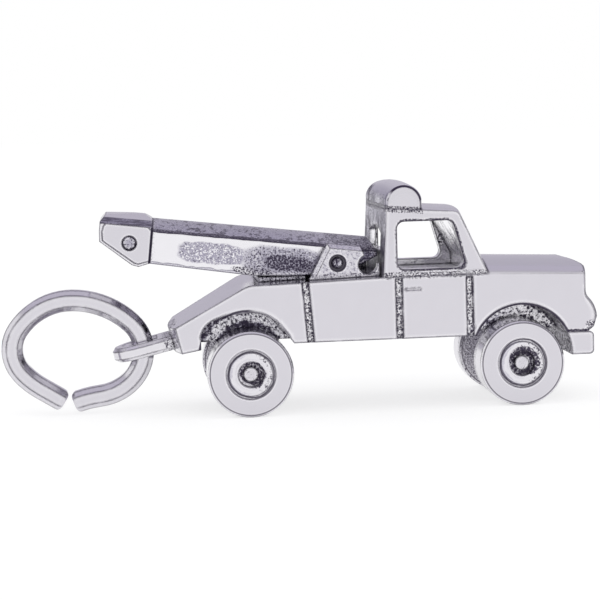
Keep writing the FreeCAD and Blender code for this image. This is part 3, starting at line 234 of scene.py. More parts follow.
class Metal:
    """What every silver material shares: places, noises, painted dark reflection lines and highlights along
    sharp edges, and dark hollows.
    """

    def __init__(self, name):
        self.material = bpy.data.materials.new(name)
        self.material.use_nodes = True
        g = self.g = Graph(self.material.node_tree)
        self.place = g.node("ShaderNodeTexCoord").outputs["Object"]
        split = g.node("ShaderNodeSeparateXYZ", {0: self.place})
        self.x, self.y, self.z = [g.mul(axis, 1.0 / MM) for axis in split.outputs]
        self.normal = g.node("ShaderNodeNewGeometry").outputs["Normal"]
        facing = g.node("ShaderNodeSeparateXYZ", {0: self.normal})
        self.nx, self.ny, self.nz = facing.outputs
        self.out = g.absolute(self.y)
        self.side = g.absolute(self.ny)
        self.grit = g.noise(self.place, scale=10000.0, roughness=0.6)
        self.dust = g.noise(self.place, scale=13500.0, detail=1.0, roughness=0.6)
        # Spots where painted glints may lie
        self.pale = g.span(self.dust, GLINT_GRAINS)
        self.cloud = g.noise(self.place, scale=1300.0)
        self.sway = g.noise(self.place, scale=450.0, detail=1.0)

    def uneven(self, length, cloud=0.0, grit=0.0):
        """A length that shifts by up to half of each amount, which makes an outline uneven."""
        g = self.g
        if cloud:
            length = g.add(length, g.mul(g.sub(self.cloud, MIDDLE), cloud))
        if grit:
            length = g.add(length, g.mul(g.sub(self.grit, MIDDLE), grit))
        return length

    def reach(self, centre):
        """Distance from a place in the side view."""
        g = self.g
        return g.length(g.sub(self.x, centre[0]), g.sub(self.z, centre[1]))

    def above_roof(self, cloud):
        """Height above the cab's roof, which falls towards the front."""
        g = self.g
        roof = g.sub(ROOF_BACK[1], g.mul(g.sub(self.x, ROOF_BACK[0]), ROOF_FALL))
        return g.sub(self.uneven(self.z, cloud), roof)

    def coarsen(self, where):
        """Coarser grains, and coarser spots for painted glints, in a rough place."""
        g = self.g
        plain = g.rest(where)
        grit = g.noise(self.place, scale=6000.0, roughness=0.7)
        dust = g.noise(self.place, scale=7500.0, detail=1.0, roughness=0.6)
        pale = g.span(dust, COARSE_GLINT_GRAINS)
        self.grit = g.add(g.mul(self.grit, plain), g.mul(grit, where))
        self.pale = g.high(g.mul(self.pale, plain), g.mul(pale, where))

    def bend(self, radius):
        """How far a rounded edge turns the surface, and the rounded normal."""
        g = self.g
        bevel = g.node("ShaderNodeBevel", {"Radius": g.mul(radius, MM)}, samples=6)
        dot = g.node("ShaderNodeVectorMath", operation="DOT_PRODUCT")
        g.feed(dot.inputs[0], bevel.outputs["Normal"])
        g.feed(dot.inputs[1], self.normal)
        return g.rest(dot.outputs["Value"]), bevel.outputs["Normal"]

    def painted_edge_lines(self, radius):
        """A painted dark reflection line along a sharp edge, a painted highlight beside it, and the rounded
        normal.
        """
        g = self.g
        sharp, rounded = self.bend(radius)
        wide, _ = self.bend(g.mul(radius, 2.0))
        rim = g.span(sharp, RIM_BEND)
        beside = g.overlap(g.span(wide, EDGE_HIGHLIGHT_BEND), g.rest(rim))
        broken = g.span(self.cloud, RIM_BREAKS, levels=(0.55, 1.0))
        return g.overlap(rim, broken), beside, rounded

    def hollows(self, crease, sooty):
        """Oxide that stays where walls meet, as far out as the crease is wide."""
        g = self.g
        open_share = g.node("ShaderNodeAmbientOcclusion", {"Distance": crease * MM}, samples=8).outputs["AO"]
        return g.overlap(g.span(self.uneven(open_share, grit=0.9), HOLLOW), strength=sooty)

    def specks(self, skin):
        """Breaks an even skin up into grains: more of them turn dark as it thickens."""
        g = self.g
        grain = g.raised(MIDDLE, g.sub(self.grit, MIDDLE), by=GRAIN_CONTRAST)
        return g.overlap(g.span(g.add(grain, skin), GRAIN_TURNS_DARK), g.span(skin, SKIN_STARTS))

    def colour(self, dark, beside, glint, shine, dull):
        """Silver, its brighter and duller parts with their painted highlights and painted shade, its painted
        glints, and the oxide and painted dark reflection lines over them.
        """
        g = self.g
        colour = SILVER
        layers = ((shine, BRIGHT_AND_HIGHLIGHT), (dull, DULL_AND_SHADE), (beside, BRIGHT_AND_HIGHLIGHT), (glint, BRIGHT_AND_HIGHLIGHT), (dark, OXIDE_AND_SHADE))
        for share, other in layers:
            if share is not None:
                colour = g.mix(share, colour, other)
        return colour

    def relief(self, rounded, rough):
        """The faint unevenness of the polish, and the grain of the rough places."""
        g = self.g
        waves = g.add(g.mul(self.dust, 0.25), g.mul(self.cloud, 1.0), g.mul(self.sway, 2.0))
        normal = g.bump(waves, strength=0.10, distance=WAVE_HEIGHT, normal=rounded)
        grains = g.raised(self.grit, self.dust, by=0.35)
        return g.bump(grains, strength=g.mul(rough, 0.75), distance=GRAIN_HEIGHT, normal=normal)

    def finish(self, skin=None, drawn=None, sparkle=None, dull=None, shine=None, crease=0.40, sooty=0.9,
               edge=0.18, line=0.85, halo=0.7, polish=0.13):
        """Completes the material and returns it.

        skin is granular oxide, drawn are solid dark marks (oxide, painted dark reflection lines and painted
        shade), and sparkle is painted glints on pale grains in it.
        dull and shine are the metal's darker and brighter parts: its own tone in some places, painted shade
        and painted highlights in others.
        crease is how far oxide reaches out of a corner, and sooty how thick it lies there.
        edge is the radius of a sharp edge, line the painted dark reflection line along it and halo the
        painted highlight beside it.
        polish is the roughness of clean metal.
        """
        g = self.g
        rim, beside, rounded = self.painted_edge_lines(edge)
        dark = rough = self.hollows(crease, sooty)
        if skin is not None:
            dark = g.high(dark, self.specks(skin))
            rough = g.high(rough, g.low(g.mul(skin, 2.0), 1.0))
        # The line along sharp edges is a painted dark reflection
        dark = g.high(dark, g.mul(rim, line))
        if drawn is not None:
            dark = g.high(dark, drawn)
        dark = g.low(dark, 1.0)
        glint = None
        if sparkle is not None:
            glint = g.mul(self.pale, sparkle)
            dark = g.mul(dark, g.rest(glint))
        smooth = g.span(self.cloud, POLISH_CLOUDS, levels=moved(POLISH_SPREAD, polish))
        shader = g.node("ShaderNodeBsdfPrincipled", {
            "Base Color": self.colour(dark, g.mul(beside, halo), glint, shine, dull),
            "Metallic": g.span(dark, METAL_ENDS, levels=(1.0, 0.6)),
            "Roughness": g.raised(g.raised(smooth, rough, by=0.14), dark, by=0.12),
            "Normal": self.relief(rounded, rough),
        })
        g.node("ShaderNodeOutputMaterial", {"Surface": shader.outputs[0]})
        return self.material


# The body

Arch = namedtuple("Arch", "within border skin glint zone outline")
DoorLines = namedtuple("DoorLines", "walls floors")

# Steps out from an arch's round edge
ARCH_CEILING = (0.55, 0.35)
ARCH_RIM_SHADOW = (-0.24, -0.12)
ARCH_WHEEL_SHADE = (-0.60, -0.76)
ARCH_EDGE_LINE_ZONE = (-0.6, 0.3)
ARCH_LINE = (-0.02, 0.11)
BUMPER_CUT = (0.12, 0.05)

# Steps forward of an axle
FRONT_ARCH_DULL = (0.1, -0.3)
FRONT_ARCH_BRIGHT = (0.2, 0.9)
REAR_LINE_END = (0.4, -0.1)

# Steps away from a door line's middle
DOOR_WALLS = (0.10, 0.19)
DOOR_FLOOR = (0.14, 0.08)

# Steps below the side face
BELOW_FACE = (0.04, 0.10)
GROOVE_START = (0.015, 0.07)
GROOVE_END = (0.20, 0.17)

# Heights
ARCH_ZONE_BASE = (4.0, 4.3)
ARCH_LINE_BASE = (2.6, 2.9)
GROOVE_TOP = (7.0, 6.96)
BELT_HEIGHT = (6.88, 6.95)
BUMPER_SEAM_HEIGHT = (3.78, 3.94)
COWL_HEIGHT = (7.02, 7.12)
HANDLE_HEIGHT = (6.0, 6.9)
HOOD_HEIGHT = (6.2, 6.4)

# Places along the truck
BELT_LENGTH = (4.4, 9.7)
BUMPER_SEAM_START = (13.75, 13.95)
COWL_LENGTH = (9.3, 9.80)
HANDLE_LENGTH = (5.5, 7.3)
HOOD_START = (9.6, 9.9)
NOSE_EDGE = (14.9, 15.1)
TAIL_ROOT = (-6.25, -6.45)

# Sizes across
TAIL_ROOT_WIDTH = (1.75, 1.5)
SCAR_SIZE = (0.32, 0.22)

# Steps on how much a face looks to the side
ARCH_CEILING_FACE = (0.7, 0.4)
DOOR_FACE = (0.7, 0.9)
BUMPER_SEAM_FACE = (0.4, 0.7)
BUMPER_CUT_FACE = (0.9, 0.7)

# Steps on a noise
DOOR_BREAKS = (0.36, 0.52)
HANDLE_BREAKS = (0.44, 0.54)
SCAR_BREAKS = (0.48, 0.52)
ARCH_STREAKS = (0.42, 0.58)


def arch_marks(m, centre, inside):
    """The rough ceiling of a wheel arch between two borders of painted shade, the rim's shadow and the shade
    near the wheel, and the painted dark reflection line drawn round its rim.
    """
    g = m.g
    exact = m.reach(centre)
    uneven = m.uneven(exact, cloud=0.30)
    within = g.overlap(g.span(exact, moved(ARCH_CEILING, ARCH_RADIUS)), inside)
    # Painted shade: the shadow under the arch's rim and the shade near the wheel
    rim_shadow = g.span(uneven, moved(ARCH_RIM_SHADOW, ARCH_RADIUS))
    wheel_shade = g.span(uneven, moved(ARCH_WHEEL_SHADE, ARCH_RADIUS))
    border = g.strongest(rim_shadow, wheel_shade)
    ceiling = g.span(m.side, ARCH_CEILING_FACE)
    skin = g.overlap(within, g.raised(0.36, border, by=g.lessened(0.36, ceiling, by=0.26)))
    glint = g.overlap(within, g.lessened(0.9, border, by=0.6))
    zone = g.between(exact, moved(ARCH_EDGE_LINE_ZONE, ARCH_RADIUS), soft=0.1)
    zone = g.overlap(zone, g.span(m.z, ARCH_ZONE_BASE))
    line = g.between(m.uneven(exact, cloud=0.08), moved(ARCH_LINE, ARCH_RADIUS), soft=0.03)
    outline = g.overlap(line, g.rest(inside), g.span(m.z, ARCH_LINE_BASE))
    return Arch(within, border, skin, glint, zone, outline)


def door_lines(m):
    """The engraved lines beside the doors: dark walls with a bright floor between them."""
    g = m.g
    walls, floors = [], []
    for middle, lean in DOOR_LINES:
        line_x = g.raised(middle, g.sub(DOOR_MIDDLE, m.z), by=lean / LEAN_HEIGHT)
        away = g.absolute(m.uneven(g.sub(m.x, line_x), cloud=0.10))
        away = m.uneven(away, grit=0.16)
        walls.append(g.between(away, DOOR_WALLS, soft=0.03))
        floors.append(g.span(away, DOOR_FLOOR))
    engraved = g.overlap(g.between(m.z, (DOOR_BASE, DOOR_TOP)), g.span(m.side, DOOR_FACE))
    broken = g.span(m.cloud, DOOR_BREAKS, levels=(0.35, 1.0))
    dark_walls = g.overlap(g.strongest(*walls), engraved, broken)
    return DoorLines(dark_walls, g.overlap(g.strongest(*floors), engraved))


def tail_root(m):
    """Grains where the bail joins the tail, where the body also paints light."""
    g = m.g
    return g.overlap(g.span(m.x, TAIL_ROOT), g.span(m.out, TAIL_ROOT_WIDTH), strength=0.5)


def belt_seam(m):
    """The seam along the belt, under the cab."""
    g = m.g
    height = g.span(m.uneven(m.z, cloud=0.10), BELT_HEIGHT)
    return g.overlap(height, g.between(m.x, BELT_LENGTH, soft=0.2), strength=0.40)


def bumper_seam(m):
    """The seam above the bumper."""
    g = m.g
    height = g.between(m.z, BUMPER_SEAM_HEIGHT, soft=0.04)
    return g.overlap(height, g.span(m.x, BUMPER_SEAM_START), g.span(m.side, BUMPER_SEAM_FACE), strength=0.75)


def cowl_seam(m):
    """The seam between the hood and the windscreen."""
    g = m.g
    return g.overlap(g.between(m.x, COWL_LENGTH, soft=0.08), g.span(m.z, COWL_HEIGHT), strength=0.80)


def nose_scar(m):
    """A small dark pit on the nose."""
    g = m.g
    spot = g.span(m.uneven(m.reach(NOSE_SCAR), cloud=0.5), SCAR_SIZE)
    return g.overlap(spot, g.span(m.grit, SCAR_BREAKS), strength=0.95)


def door_handle(m):
    """The place of the door handle, where the painted dark reflection line along its edges is broken."""
    g = m.g
    place = g.overlap(g.between(m.x, HANDLE_LENGTH, soft=0.1), g.between(m.z, HANDLE_HEIGHT, soft=0.1))
    return g.overlap(place, g.span(m.grit, HANDLE_BREAKS))


def groove_floor(m, depth):
    """The floor of every cut line."""
    g = m.g
    return g.overlap(g.span(depth, GROOVE_START), g.span(depth, GROOVE_END), g.span(m.z, GROOVE_TOP))


def body_metal():
    """The lower casting: rough arches with painted shade at their borders and painted light in their
    ceilings, engraved lines, a dark seam under the cab, and painted dark reflection lines round the arches.
    """
    m = Metal("body_silver")
    g = m.g
    narrowing = g.mul(g.high(g.sub(TAIL_START, m.x), 0.0), TAIL_NARROWING)
    depth = g.sub(g.sub(HALF_WIDTH, narrowing), m.out)
    inside = g.span(depth, BELOW_FACE)
    rear, front = [arch_marks(m, centre, inside) for centre in (REAR_ARCH, FRONT_ARCH)]
    doors, groove = door_lines(m), groove_floor(m, depth)
    root, belt = tail_root(m), belt_seam(m)
    arched = g.strongest(rear.within, front.within)
    m.coarsen(arched)

    front_dull = g.overlap(front.within, g.span(m.x, moved(FRONT_ARCH_DULL, FRONT_AXLE[0])))
    front_bright = g.overlap(front.within, g.span(m.x, moved(FRONT_ARCH_BRIGHT, FRONT_AXLE[0])))
    arch = g.lessened(g.strongest(rear.skin, front.skin), front_dull, by=0.06)
    arch = g.raised(g.raised(arch, front_bright, by=0.08), rear.within, by=0.09)
    skin = g.strongest(arch, (groove, 0.54), belt, bumper_seam(m), root, cowl_seam(m))
    sparkle = g.low(g.strongest(rear.glint, front.glint, (groove, 0.8), belt, root), 0.8)

    # The arches' outlines are painted dark reflection lines
    rear_line = g.overlap(rear.outline, g.span(m.x, moved(REAR_LINE_END, REAR_AXLE[0])))
    outlines = g.overlap(g.strongest(rear_line, front.outline), strength=0.95)
    drawn = g.strongest(doors.walls, outlines, nose_scar(m))
    # Painted shade in the arches: the front arch's rear part, streaked, and the rear arch, darker at its
    # borders
    front_shade = g.overlap(front_dull, g.lessened(0.75, g.span(m.cloud, ARCH_STREAKS), by=0.55))
    rear_shade = g.overlap(rear.within, g.raised(0.3, rear.border, by=0.5))
    # shine paints light into the arches' ceilings and onto the tail root, and lightens the door lines' floors
    shine = g.strongest((front.within, 0.7), (rear.within, g.rest(rear.border)), front_bright,
                        (doors.floors, 0.8), (root, 1.2))

    # Near the arches and the nose the painted dark edge line is wider and darker
    zones = g.strongest(rear.zone, front.zone)
    # No painted edge highlight on the hood
    hood = g.overlap(g.span(m.x, HOOD_START), g.span(m.z, HOOD_HEIGHT))
    return m.finish(skin, drawn, sparkle, dull=g.strongest(front_shade, rear_shade), shine=shine, crease=0.30,
                    sooty=g.lessened(0.8, g.strongest(arched, doors.floors), by=0.70),
                    edge=g.raised(0.17, g.strongest(zones, g.span(m.x, NOSE_EDGE)), by=0.15),
                    line=g.overlap(g.raised(0.85, zones, by=0.15), g.rest(door_handle(m))),
                    halo=g.lessened(0.7, hood, by=0.7))


def bumper_metal():
    """The bumper bar, rough where it closes the front wheel arch, with painted light and painted glints
    there.
    """
    m = Metal("bumper_silver")
    g = m.g
    cut = g.span(m.reach(FRONT_ARCH), moved(BUMPER_CUT, ARCH_RADIUS))
    cut = g.overlap(cut, g.span(m.side, BUMPER_CUT_FACE))
    m.coarsen(cut)
    # shine and sparkle paint light on the cut, which faces the wheel
    return m.finish(g.overlap(cut, strength=0.50), shine=cut, sparkle=cut, sooty=0.10)


# The cab and its beacon

# Distances from the truck's middle plane, to the side
CAB_INNER_SIDE = (3.985, 3.94)
CAB_OUTER_SIDE = (3.90, 3.96)
REVEAL_WIDTH = (3.22, 3.32)
BEACON_LINE_WIDTH = (3.6, 3.8)
BEACON_FAR_END = (1.2, 2.8)

# Places along the truck
CAB_INNER_BACK = (4.66, 4.74)
CAB_BACK = (5.2, 5.0)
REVEAL_START = (4.9, 5.6)
UNDER_BEACON_END = (6.62, 6.52)
FRAME_LINE_START = (5.2, 5.5)
WINDOW_LENGTH = (4.9, 9.4)
BEACON_BACK = (5.05, 4.80)

# Steps behind the windscreen's face and outside the window
SCREEN_DEPTH = (0.25, 0.33)
FRAME_LINE = (0.17, 0.10)
FRAME_CORE = (0.09, 0.05)

# Heights
CAB_CEILING = (10.32, 10.2)
HAZE_HEIGHT = (9.6, 8.4)
SILL_HEIGHT = (7.66, 7.50)
SEAM_HEIGHT = (7.32, 7.24)
CAB_FOOT_LINE = (7.12, 7.08)
SECOND_FOOT_LINE = (7.20, 7.23)
STAIN_HEIGHT = (10.4, 8.2)
BACK_JOINT_HEIGHT = (10.44, 10.52)
BLOT_HEIGHT = (10.3, 9.8)
WINDOW_HEIGHT = (7.3, 10.1)
BEACON_STAIN_HEIGHT = (11.6, 11.0)
BEACON_JOINT_HEIGHT = (10.86, 10.78)

# Heights above the roof
UNDER_BEACON = (-0.25, -0.17)
BEACON_FOOT = (0.18, 0.10)
BEACON_FOOT_LINE = (0.08, 0.05)

# Steps on a noise
INNER_HAZE = (0.38, 0.66)
UPRIGHT_STREAKS = (0.35, 0.65)
STAIN_PATCHES = (0.40, 0.60)
BLOTS = (0.51, 0.58)
FOOT_BREAKS = (0.42, 0.52)
BEACON_STAINS = (0.42, 0.58)
FAR_END_STAINS = (0.40, 0.55)
BEACON_BREAKS = (0.40, 0.48)

# Steps on how much a face looks back, up or to the side
CAB_BACK_FACE = (-0.6, -0.85)
BEACON_BACK_FACE = (-0.2, -0.8)
BEACON_SHADED_FACE = (-0.5, -0.9)
BEACON_UPPER_FACE = (0.15, 0.35)
BEACON_LIT_FACE = (0.4, 0.8)
BEACON_END_CURVE = (0.46, 0.82)


def cab_inside(m):
    """The cab's inner faces, behind the windscreen and under the roof."""
    g = m.g
    screen = g.sub(SCREEN_FOOT[0], g.mul(g.sub(m.z, SCREEN_FOOT[1]), SCREEN_RAKE))
    behind_screen = g.span(g.sub(screen, m.x), SCREEN_DEPTH)
    return g.overlap(g.span(m.out, CAB_INNER_SIDE), g.span(m.x, CAB_INNER_BACK), behind_screen,
                     g.span(m.z, CAB_CEILING))


def cab_back_stain(m, back):
    """Upright streaks on the cab's back, darker towards the bottom."""
    g = m.g
    streak = g.span(g.noise(g.stretched(m.place, (1.0, 1.0, 0.3)), scale=2200.0), UPRIGHT_STREAKS)
    patches = g.span(m.sway, STAIN_PATCHES, levels=(0.0, 0.22))
    height = g.span(m.z, STAIN_HEIGHT, levels=(0.65, 1.15))
    return g.overlap(back, g.add(g.raised(0.33, streak, by=0.28), patches), height)


def cab_foot_lines(m):
    """Two thin broken lines where the cab meets the body."""
    g = m.g
    level = m.uneven(m.z, cloud=0.08)
    lines = g.strongest(g.span(level, CAB_FOOT_LINE), g.between(level, SECOND_FOOT_LINE, soft=0.015))
    return g.overlap(lines, g.span(m.out, CAB_OUTER_SIDE), g.span(m.cloud, FOOT_BREAKS))


def window_distance(m):
    """Distance outside the side window, which has round corners and a raked front post."""
    g = m.g
    lean, rise = WINDOW_POST
    ahead = g.add(g.mul(g.sub(m.x, WINDOW_FRONT), rise), g.mul(g.sub(m.z, WINDOW_SILL), lean))
    ahead = g.mul(ahead, 1.0 / math.hypot(lean, rise))
    behind_or_ahead = g.high(g.sub(WINDOW_REAR, m.x), ahead)
    below_or_above = g.high(g.sub(WINDOW_SILL, m.z), g.sub(m.z, WINDOW_TOP))
    across = g.high(g.add(behind_or_ahead, WINDOW_CORNER), 0.0)
    up = g.high(g.add(below_or_above, WINDOW_CORNER), 0.0)
    return g.sub(g.length(across, up), WINDOW_CORNER)


def cab_metal():
    """The cab: rough inside, with dark grains that thicken lower down, painted light on its inner faces and
    painted glints on its sill; painted shade and streaks on its back; rough seams below it and under the
    beacon.
    """
    m = Metal("cab_silver")
    g = m.g
    inside = cab_inside(m)
    sill = g.overlap(inside, g.span(m.z, SILL_HEIGHT))
    haze_height = g.span(m.z, HAZE_HEIGHT, levels=(0.4, 1.1))
    haze = g.overlap(g.span(m.cloud, INNER_HAZE, levels=(0.0, 0.42)), haze_height)
    haze = g.overlap(haze, g.lessened(1.0, sill, by=0.5))
    reveal = g.overlap(inside, g.span(m.out, REVEAL_WIDTH), g.span(m.x, REVEAL_START))
    reveal = g.overlap(reveal, g.lessened(1.0, sill, by=0.7))

    back = g.overlap(g.span(m.nx, CAB_BACK_FACE), g.span(m.x, CAB_BACK))
    stain = cab_back_stain(m, back)
    joint = g.overlap(back, g.span(m.uneven(m.z, cloud=0.2), BACK_JOINT_HEIGHT), strength=0.72)
    blot = g.overlap(back, g.span(m.cloud, BLOTS), g.span(m.z, BLOT_HEIGHT), strength=0.85)
    seam = g.overlap(g.span(m.uneven(m.z, cloud=0.16), SEAM_HEIGHT), g.rest(inside), strength=0.50)
    under = g.span(m.above_roof(cloud=0.12), UNDER_BEACON)
    under = g.overlap(under, g.span(m.x, UNDER_BEACON_END), strength=0.56)

    away = window_distance(m)
    # A painted dark reflection line round the side window, over rough grains
    frame_line = g.span(m.uneven(away, cloud=0.16, grit=0.10), FRAME_LINE)
    frame_line = g.overlap(frame_line, g.span(m.out, CAB_OUTER_SIDE),
                           g.span(m.x, FRAME_LINE_START, levels=(0.6, 1.0)))
    frame_core = g.overlap(frame_line, g.span(m.uneven(away, cloud=0.10), FRAME_CORE))
    window = g.overlap(g.between(m.x, WINDOW_LENGTH, soft=0.1), g.between(m.z, WINDOW_HEIGHT), g.rest(back))

    skin = g.strongest((inside, haze), (reveal, 0.42), (frame_line, 0.66), stain, joint, seam, under)
    # The sill's share of sparkle is painted glints
    sparkle = g.strongest((seam, 1.8), (stain, 0.5), (sill, 0.6), under, (reveal, 0.6), (frame_line, 0.4))
    # shine paints light on the cab's inner faces, dull paints shade on its back faces and faintly inside, and
    # line thickens the painted dark edge line round the window
    return m.finish(skin, sparkle=sparkle, crease=0.25,
                    drawn=g.strongest(cab_foot_lines(m), blot, frame_core),
                    dull=g.strongest(back, (inside, 0.12)),
                    shine=g.overlap(inside, strength=0.95),
                    line=g.raised(0.55, window, by=0.45),
                    sooty=g.lessened(0.9, inside, by=g.raised(0.75, sill, by=0.15)))


def beacon_metal():
    """The beacon bar, with a rough seam at its foot, a painted dark reflection band round the top of each
    end, painted shade on its back faces and a painted highlight on its top.
    """
    m = Metal("beacon_silver")
    g = m.g
    foot = g.overlap(g.span(m.above_roof(cloud=0.10), BEACON_FOOT), strength=0.62)
    foot_line = g.span(m.above_roof(cloud=0.05), BEACON_FOOT_LINE)
    foot_line = g.overlap(foot_line, g.span(m.cloud, BEACON_BREAKS), g.span(m.out, BEACON_LINE_WIDTH),
                          strength=0.9)
    back = g.span(m.nx, BEACON_BACK_FACE)
    patches = g.span(m.sway, BEACON_STAINS, levels=(0.24, 0.55))
    stain = g.overlap(back, g.span(m.z, BEACON_STAIN_HEIGHT), patches)
    joint = g.overlap(back, g.span(m.uneven(m.z, cloud=0.2), BEACON_JOINT_HEIGHT), strength=0.74)
    far_end = g.overlap(g.span(m.y, BEACON_FAR_END), g.span(m.x, BEACON_BACK),
                        g.span(m.cloud, FAR_END_STAINS, levels=(0.35, 0.85)))
    upper = g.span(g.raised(m.nz, m.nx, by=0.4), BEACON_UPPER_FACE)
    end_reflection = g.overlap(g.between(m.side, BEACON_END_CURVE, soft=0.06), upper)
    # dull paints shade on the back faces, shine paints a highlight on the top, and the band round each end is
    # a painted dark reflection
    return m.finish(g.strongest(foot, stain, far_end, joint), sparkle=foot, crease=0.3, edge=0.13, line=0.7,
                    drawn=g.strongest(end_reflection, foot_line),
                    dull=g.overlap(g.span(m.nx, BEACON_SHADED_FACE), strength=0.8),
                    shine=g.overlap(g.span(m.nz, BEACON_LIT_FACE), g.rest(back), strength=0.6))


# The boom and what carries it

Patch = namedtuple("Patch", "middle half soft")

# Patches on the boom's side: their middles along and above the boom's axis, and their half sizes
LIGHT_PATCH = Patch((6.62, -0.08), (1.75, 0.54), 0.25)
GREY_PATCH = Patch((2.75, -0.20), (2.20, 0.74), 0.6)
BLACK_PATCH = Patch((2.50, -0.28), (1.40, 0.42), 0.7)
FOOT_PATCH = Patch((4.35, -0.80), (1.1, 0.20), 0.4)

# Places along the boom, from the rivet that it turns on
ROUGH_END = (5.6, 9.0)
BOOM_NOSE = (-0.45, -0.9)
NOSE_TOP = (1.1, 0.3)
LIP_START = (4.6, 5.2)
TOP_DULLING = (1.0, 4.0)
BOOM_JOINT = (9.68, 9.72)
HEAD_JOINT = (9.86, 9.82)

# Heights above the boom's axis, and above its under edge
BRINK = (0.73, 0.76)
LIP = (0.17, 0.12)
LIP_LINE = (0.09, 0.12)

# Distances from the truck's middle plane, to the side
RIDGE = (2.10, 2.20)
HEAD_SLOPE_WIDTH = (1.75, 1.9)
BRACKET_INNER_SIDE = (2.56, 2.49)

# Distances from the rivet's axis, and steps out from a pin's rim
BRACKET_SEAT = (0.47, 0.44)
PIN_RIM = (-0.08, -0.02)

# Steps on a noise
DASHES = (0.53, 0.58)
SLOPE_STREAKS = (0.38, 0.60)
BRACKET_GRAIN = (0.42, 0.60)
PIN_MOTTLE = (0.40, 0.60)

# Steps on how much a face looks up or to the side
BOOM_SIDE = (0.6, 0.9)
BOOM_TOP = (0.5, 0.8)
HEAD_SLOPE = (0.25, 0.45)
HEAD_LIT_CROWN = (0.7, 0.9)
HEAD_SIDE = (0.5, 0.8)


def along_boom(m):
    """Distance along the boom and height above its axis, from the rivet that it turns on."""
    g = m.g
    back, up = g.sub(PIVOT[0], m.x), g.sub(m.z, PIVOT[1])
    cosine, sine = math.cos(BOOM_TILT), math.sin(BOOM_TILT)
    along = g.add(g.mul(back, cosine), g.mul(up, sine))
    rise = g.sub(g.mul(up, cosine), g.mul(back, sine))
    return along, rise


def boom_patch(g, along, rise, patch):
    """A patch with rounded corners on the boom's side."""
    ends = g.mul(g.sub(along, patch.middle[0]), 1.0 / patch.half[0])
    edges = g.mul(g.sub(rise, patch.middle[1]), 1.0 / patch.half[1])
    reach = g.add(g.cube(g.absolute(ends)), g.cube(g.absolute(edges)))
    return g.span(reach, (1.0 + patch.soft, 1.0 - patch.soft))


def boom_dashes(m, flat, rough_end):
    """Broken dark lines along the boom's top, thicker towards its head."""
    g = m.g
    drawn_out = g.stretched(m.place, (0.45, 0.20, 1.0))
    dash = g.span(g.noise(drawn_out, scale=6500.0, detail=3.0, roughness=0.7), DASHES)
    return g.overlap(flat, dash, g.raised(0.78, rough_end, by=0.2))


def boom_metal():
    """The boom: bright sides with two rough patches, an unpolished top, and painted dark reflection lines
    along its edges.
    """
    m = Metal("boom_silver")
    g = m.g
    exact_along, exact_rise = along_boom(m)
    along, rise = m.uneven(exact_along, cloud=0.5), m.uneven(exact_rise, cloud=0.35)
    light, grey, black, foot = [boom_patch(g, along, rise, patch)
                                for patch in (LIGHT_PATCH, GREY_PATCH, BLACK_PATCH, FOOT_PATCH)]
    side, flat = g.span(m.side, BOOM_SIDE), g.span(m.nz, BOOM_TOP)
    nose = g.span(along, BOOM_NOSE)
    nose_top = g.overlap(flat, g.span(along, NOSE_TOP))
    rough_end = g.overlap(flat, g.span(along, ROUGH_END))
    above_edge = g.sub(rise, g.sub(g.mul(along, BOOM_TAPER), BOOM_UNDER_EDGE))
    lip = g.overlap(g.span(above_edge, LIP), g.span(along, LIP_START))

    # ridge, brink and lip_line are painted dark reflection lines along the boom's edges
    ridge = g.overlap(flat, g.span(m.uneven(m.out, cloud=0.30), RIDGE))
    brink = g.overlap(side, g.span(m.uneven(exact_rise, cloud=0.08), BRINK))
    joint = g.span(exact_along, BOOM_JOINT)
    lip_line = g.overlap(lip, side, g.span(above_edge, LIP_LINE), strength=0.45)
    drawn = g.strongest(ridge, brink, boom_dashes(m, flat, rough_end), joint, lip_line)

    stains = g.strongest((light, 0.22), (grey, 0.38), (black, 0.65), (foot, 0.5), (nose, 0.6))
    skin = g.strongest((side, stains), (flat, 0.14), (nose_top, 0.5))
    side_dull = g.strongest((light, 0.8), (grey, 0.7), (lip, 0.7), nose)
    top_dull = g.span(along, TOP_DULLING, levels=(0.55, 0.70))
    side_sparkle = g.strongest((light, 0.9), (grey, g.rest(black), 0.5))
    top_sparkle = g.raised(g.raised(0.30, rough_end, by=0.20), nose_top, by=0.4)
    return m.finish(skin, drawn, line=0.7, edge=0.14,
                    sparkle=g.strongest((side, side_sparkle), (flat, top_sparkle)),
                    dull=g.strongest((side, side_dull), (flat, top_dull)),
                    shine=g.overlap(side, g.rest(g.strongest(light, grey, lip, nose)), strength=0.66))


def head_metal():
    """The boom head: the slopes above its cheeks painted darker, a painted shade with dark streaks along
    them, and its crown painted lighter as a highlight.
    """
    m = Metal("head_silver")
    g = m.g
    along, _ = along_boom(m)
    slope = g.overlap(g.span(m.nz, HEAD_SLOPE), g.span(m.out, HEAD_SLOPE_WIDTH))
    streak = g.span(g.noise(g.stretched(m.place, (0.25, 1.0, 1.0)), scale=5200.0), SLOPE_STREAKS)
    streaks = g.overlap(slope, g.raised(0.20, streak, by=0.62))
    joint = g.overlap(g.span(along, HEAD_JOINT), g.span(m.side, HEAD_SIDE))
    lit_crown = g.overlap(g.span(m.nz, HEAD_LIT_CROWN), g.rest(slope))
    # dull and the streaks paint shade on the slopes, and shine paints a highlight on the crown
    return m.finish(g.overlap(slope, strength=0.2), drawn=g.strongest(joint, streaks),
                    dull=g.overlap(slope, strength=0.8), shine=g.overlap(lit_crown, strength=0.28),
                    crease=0.15, sooty=0.5, edge=0.12, line=1.0)


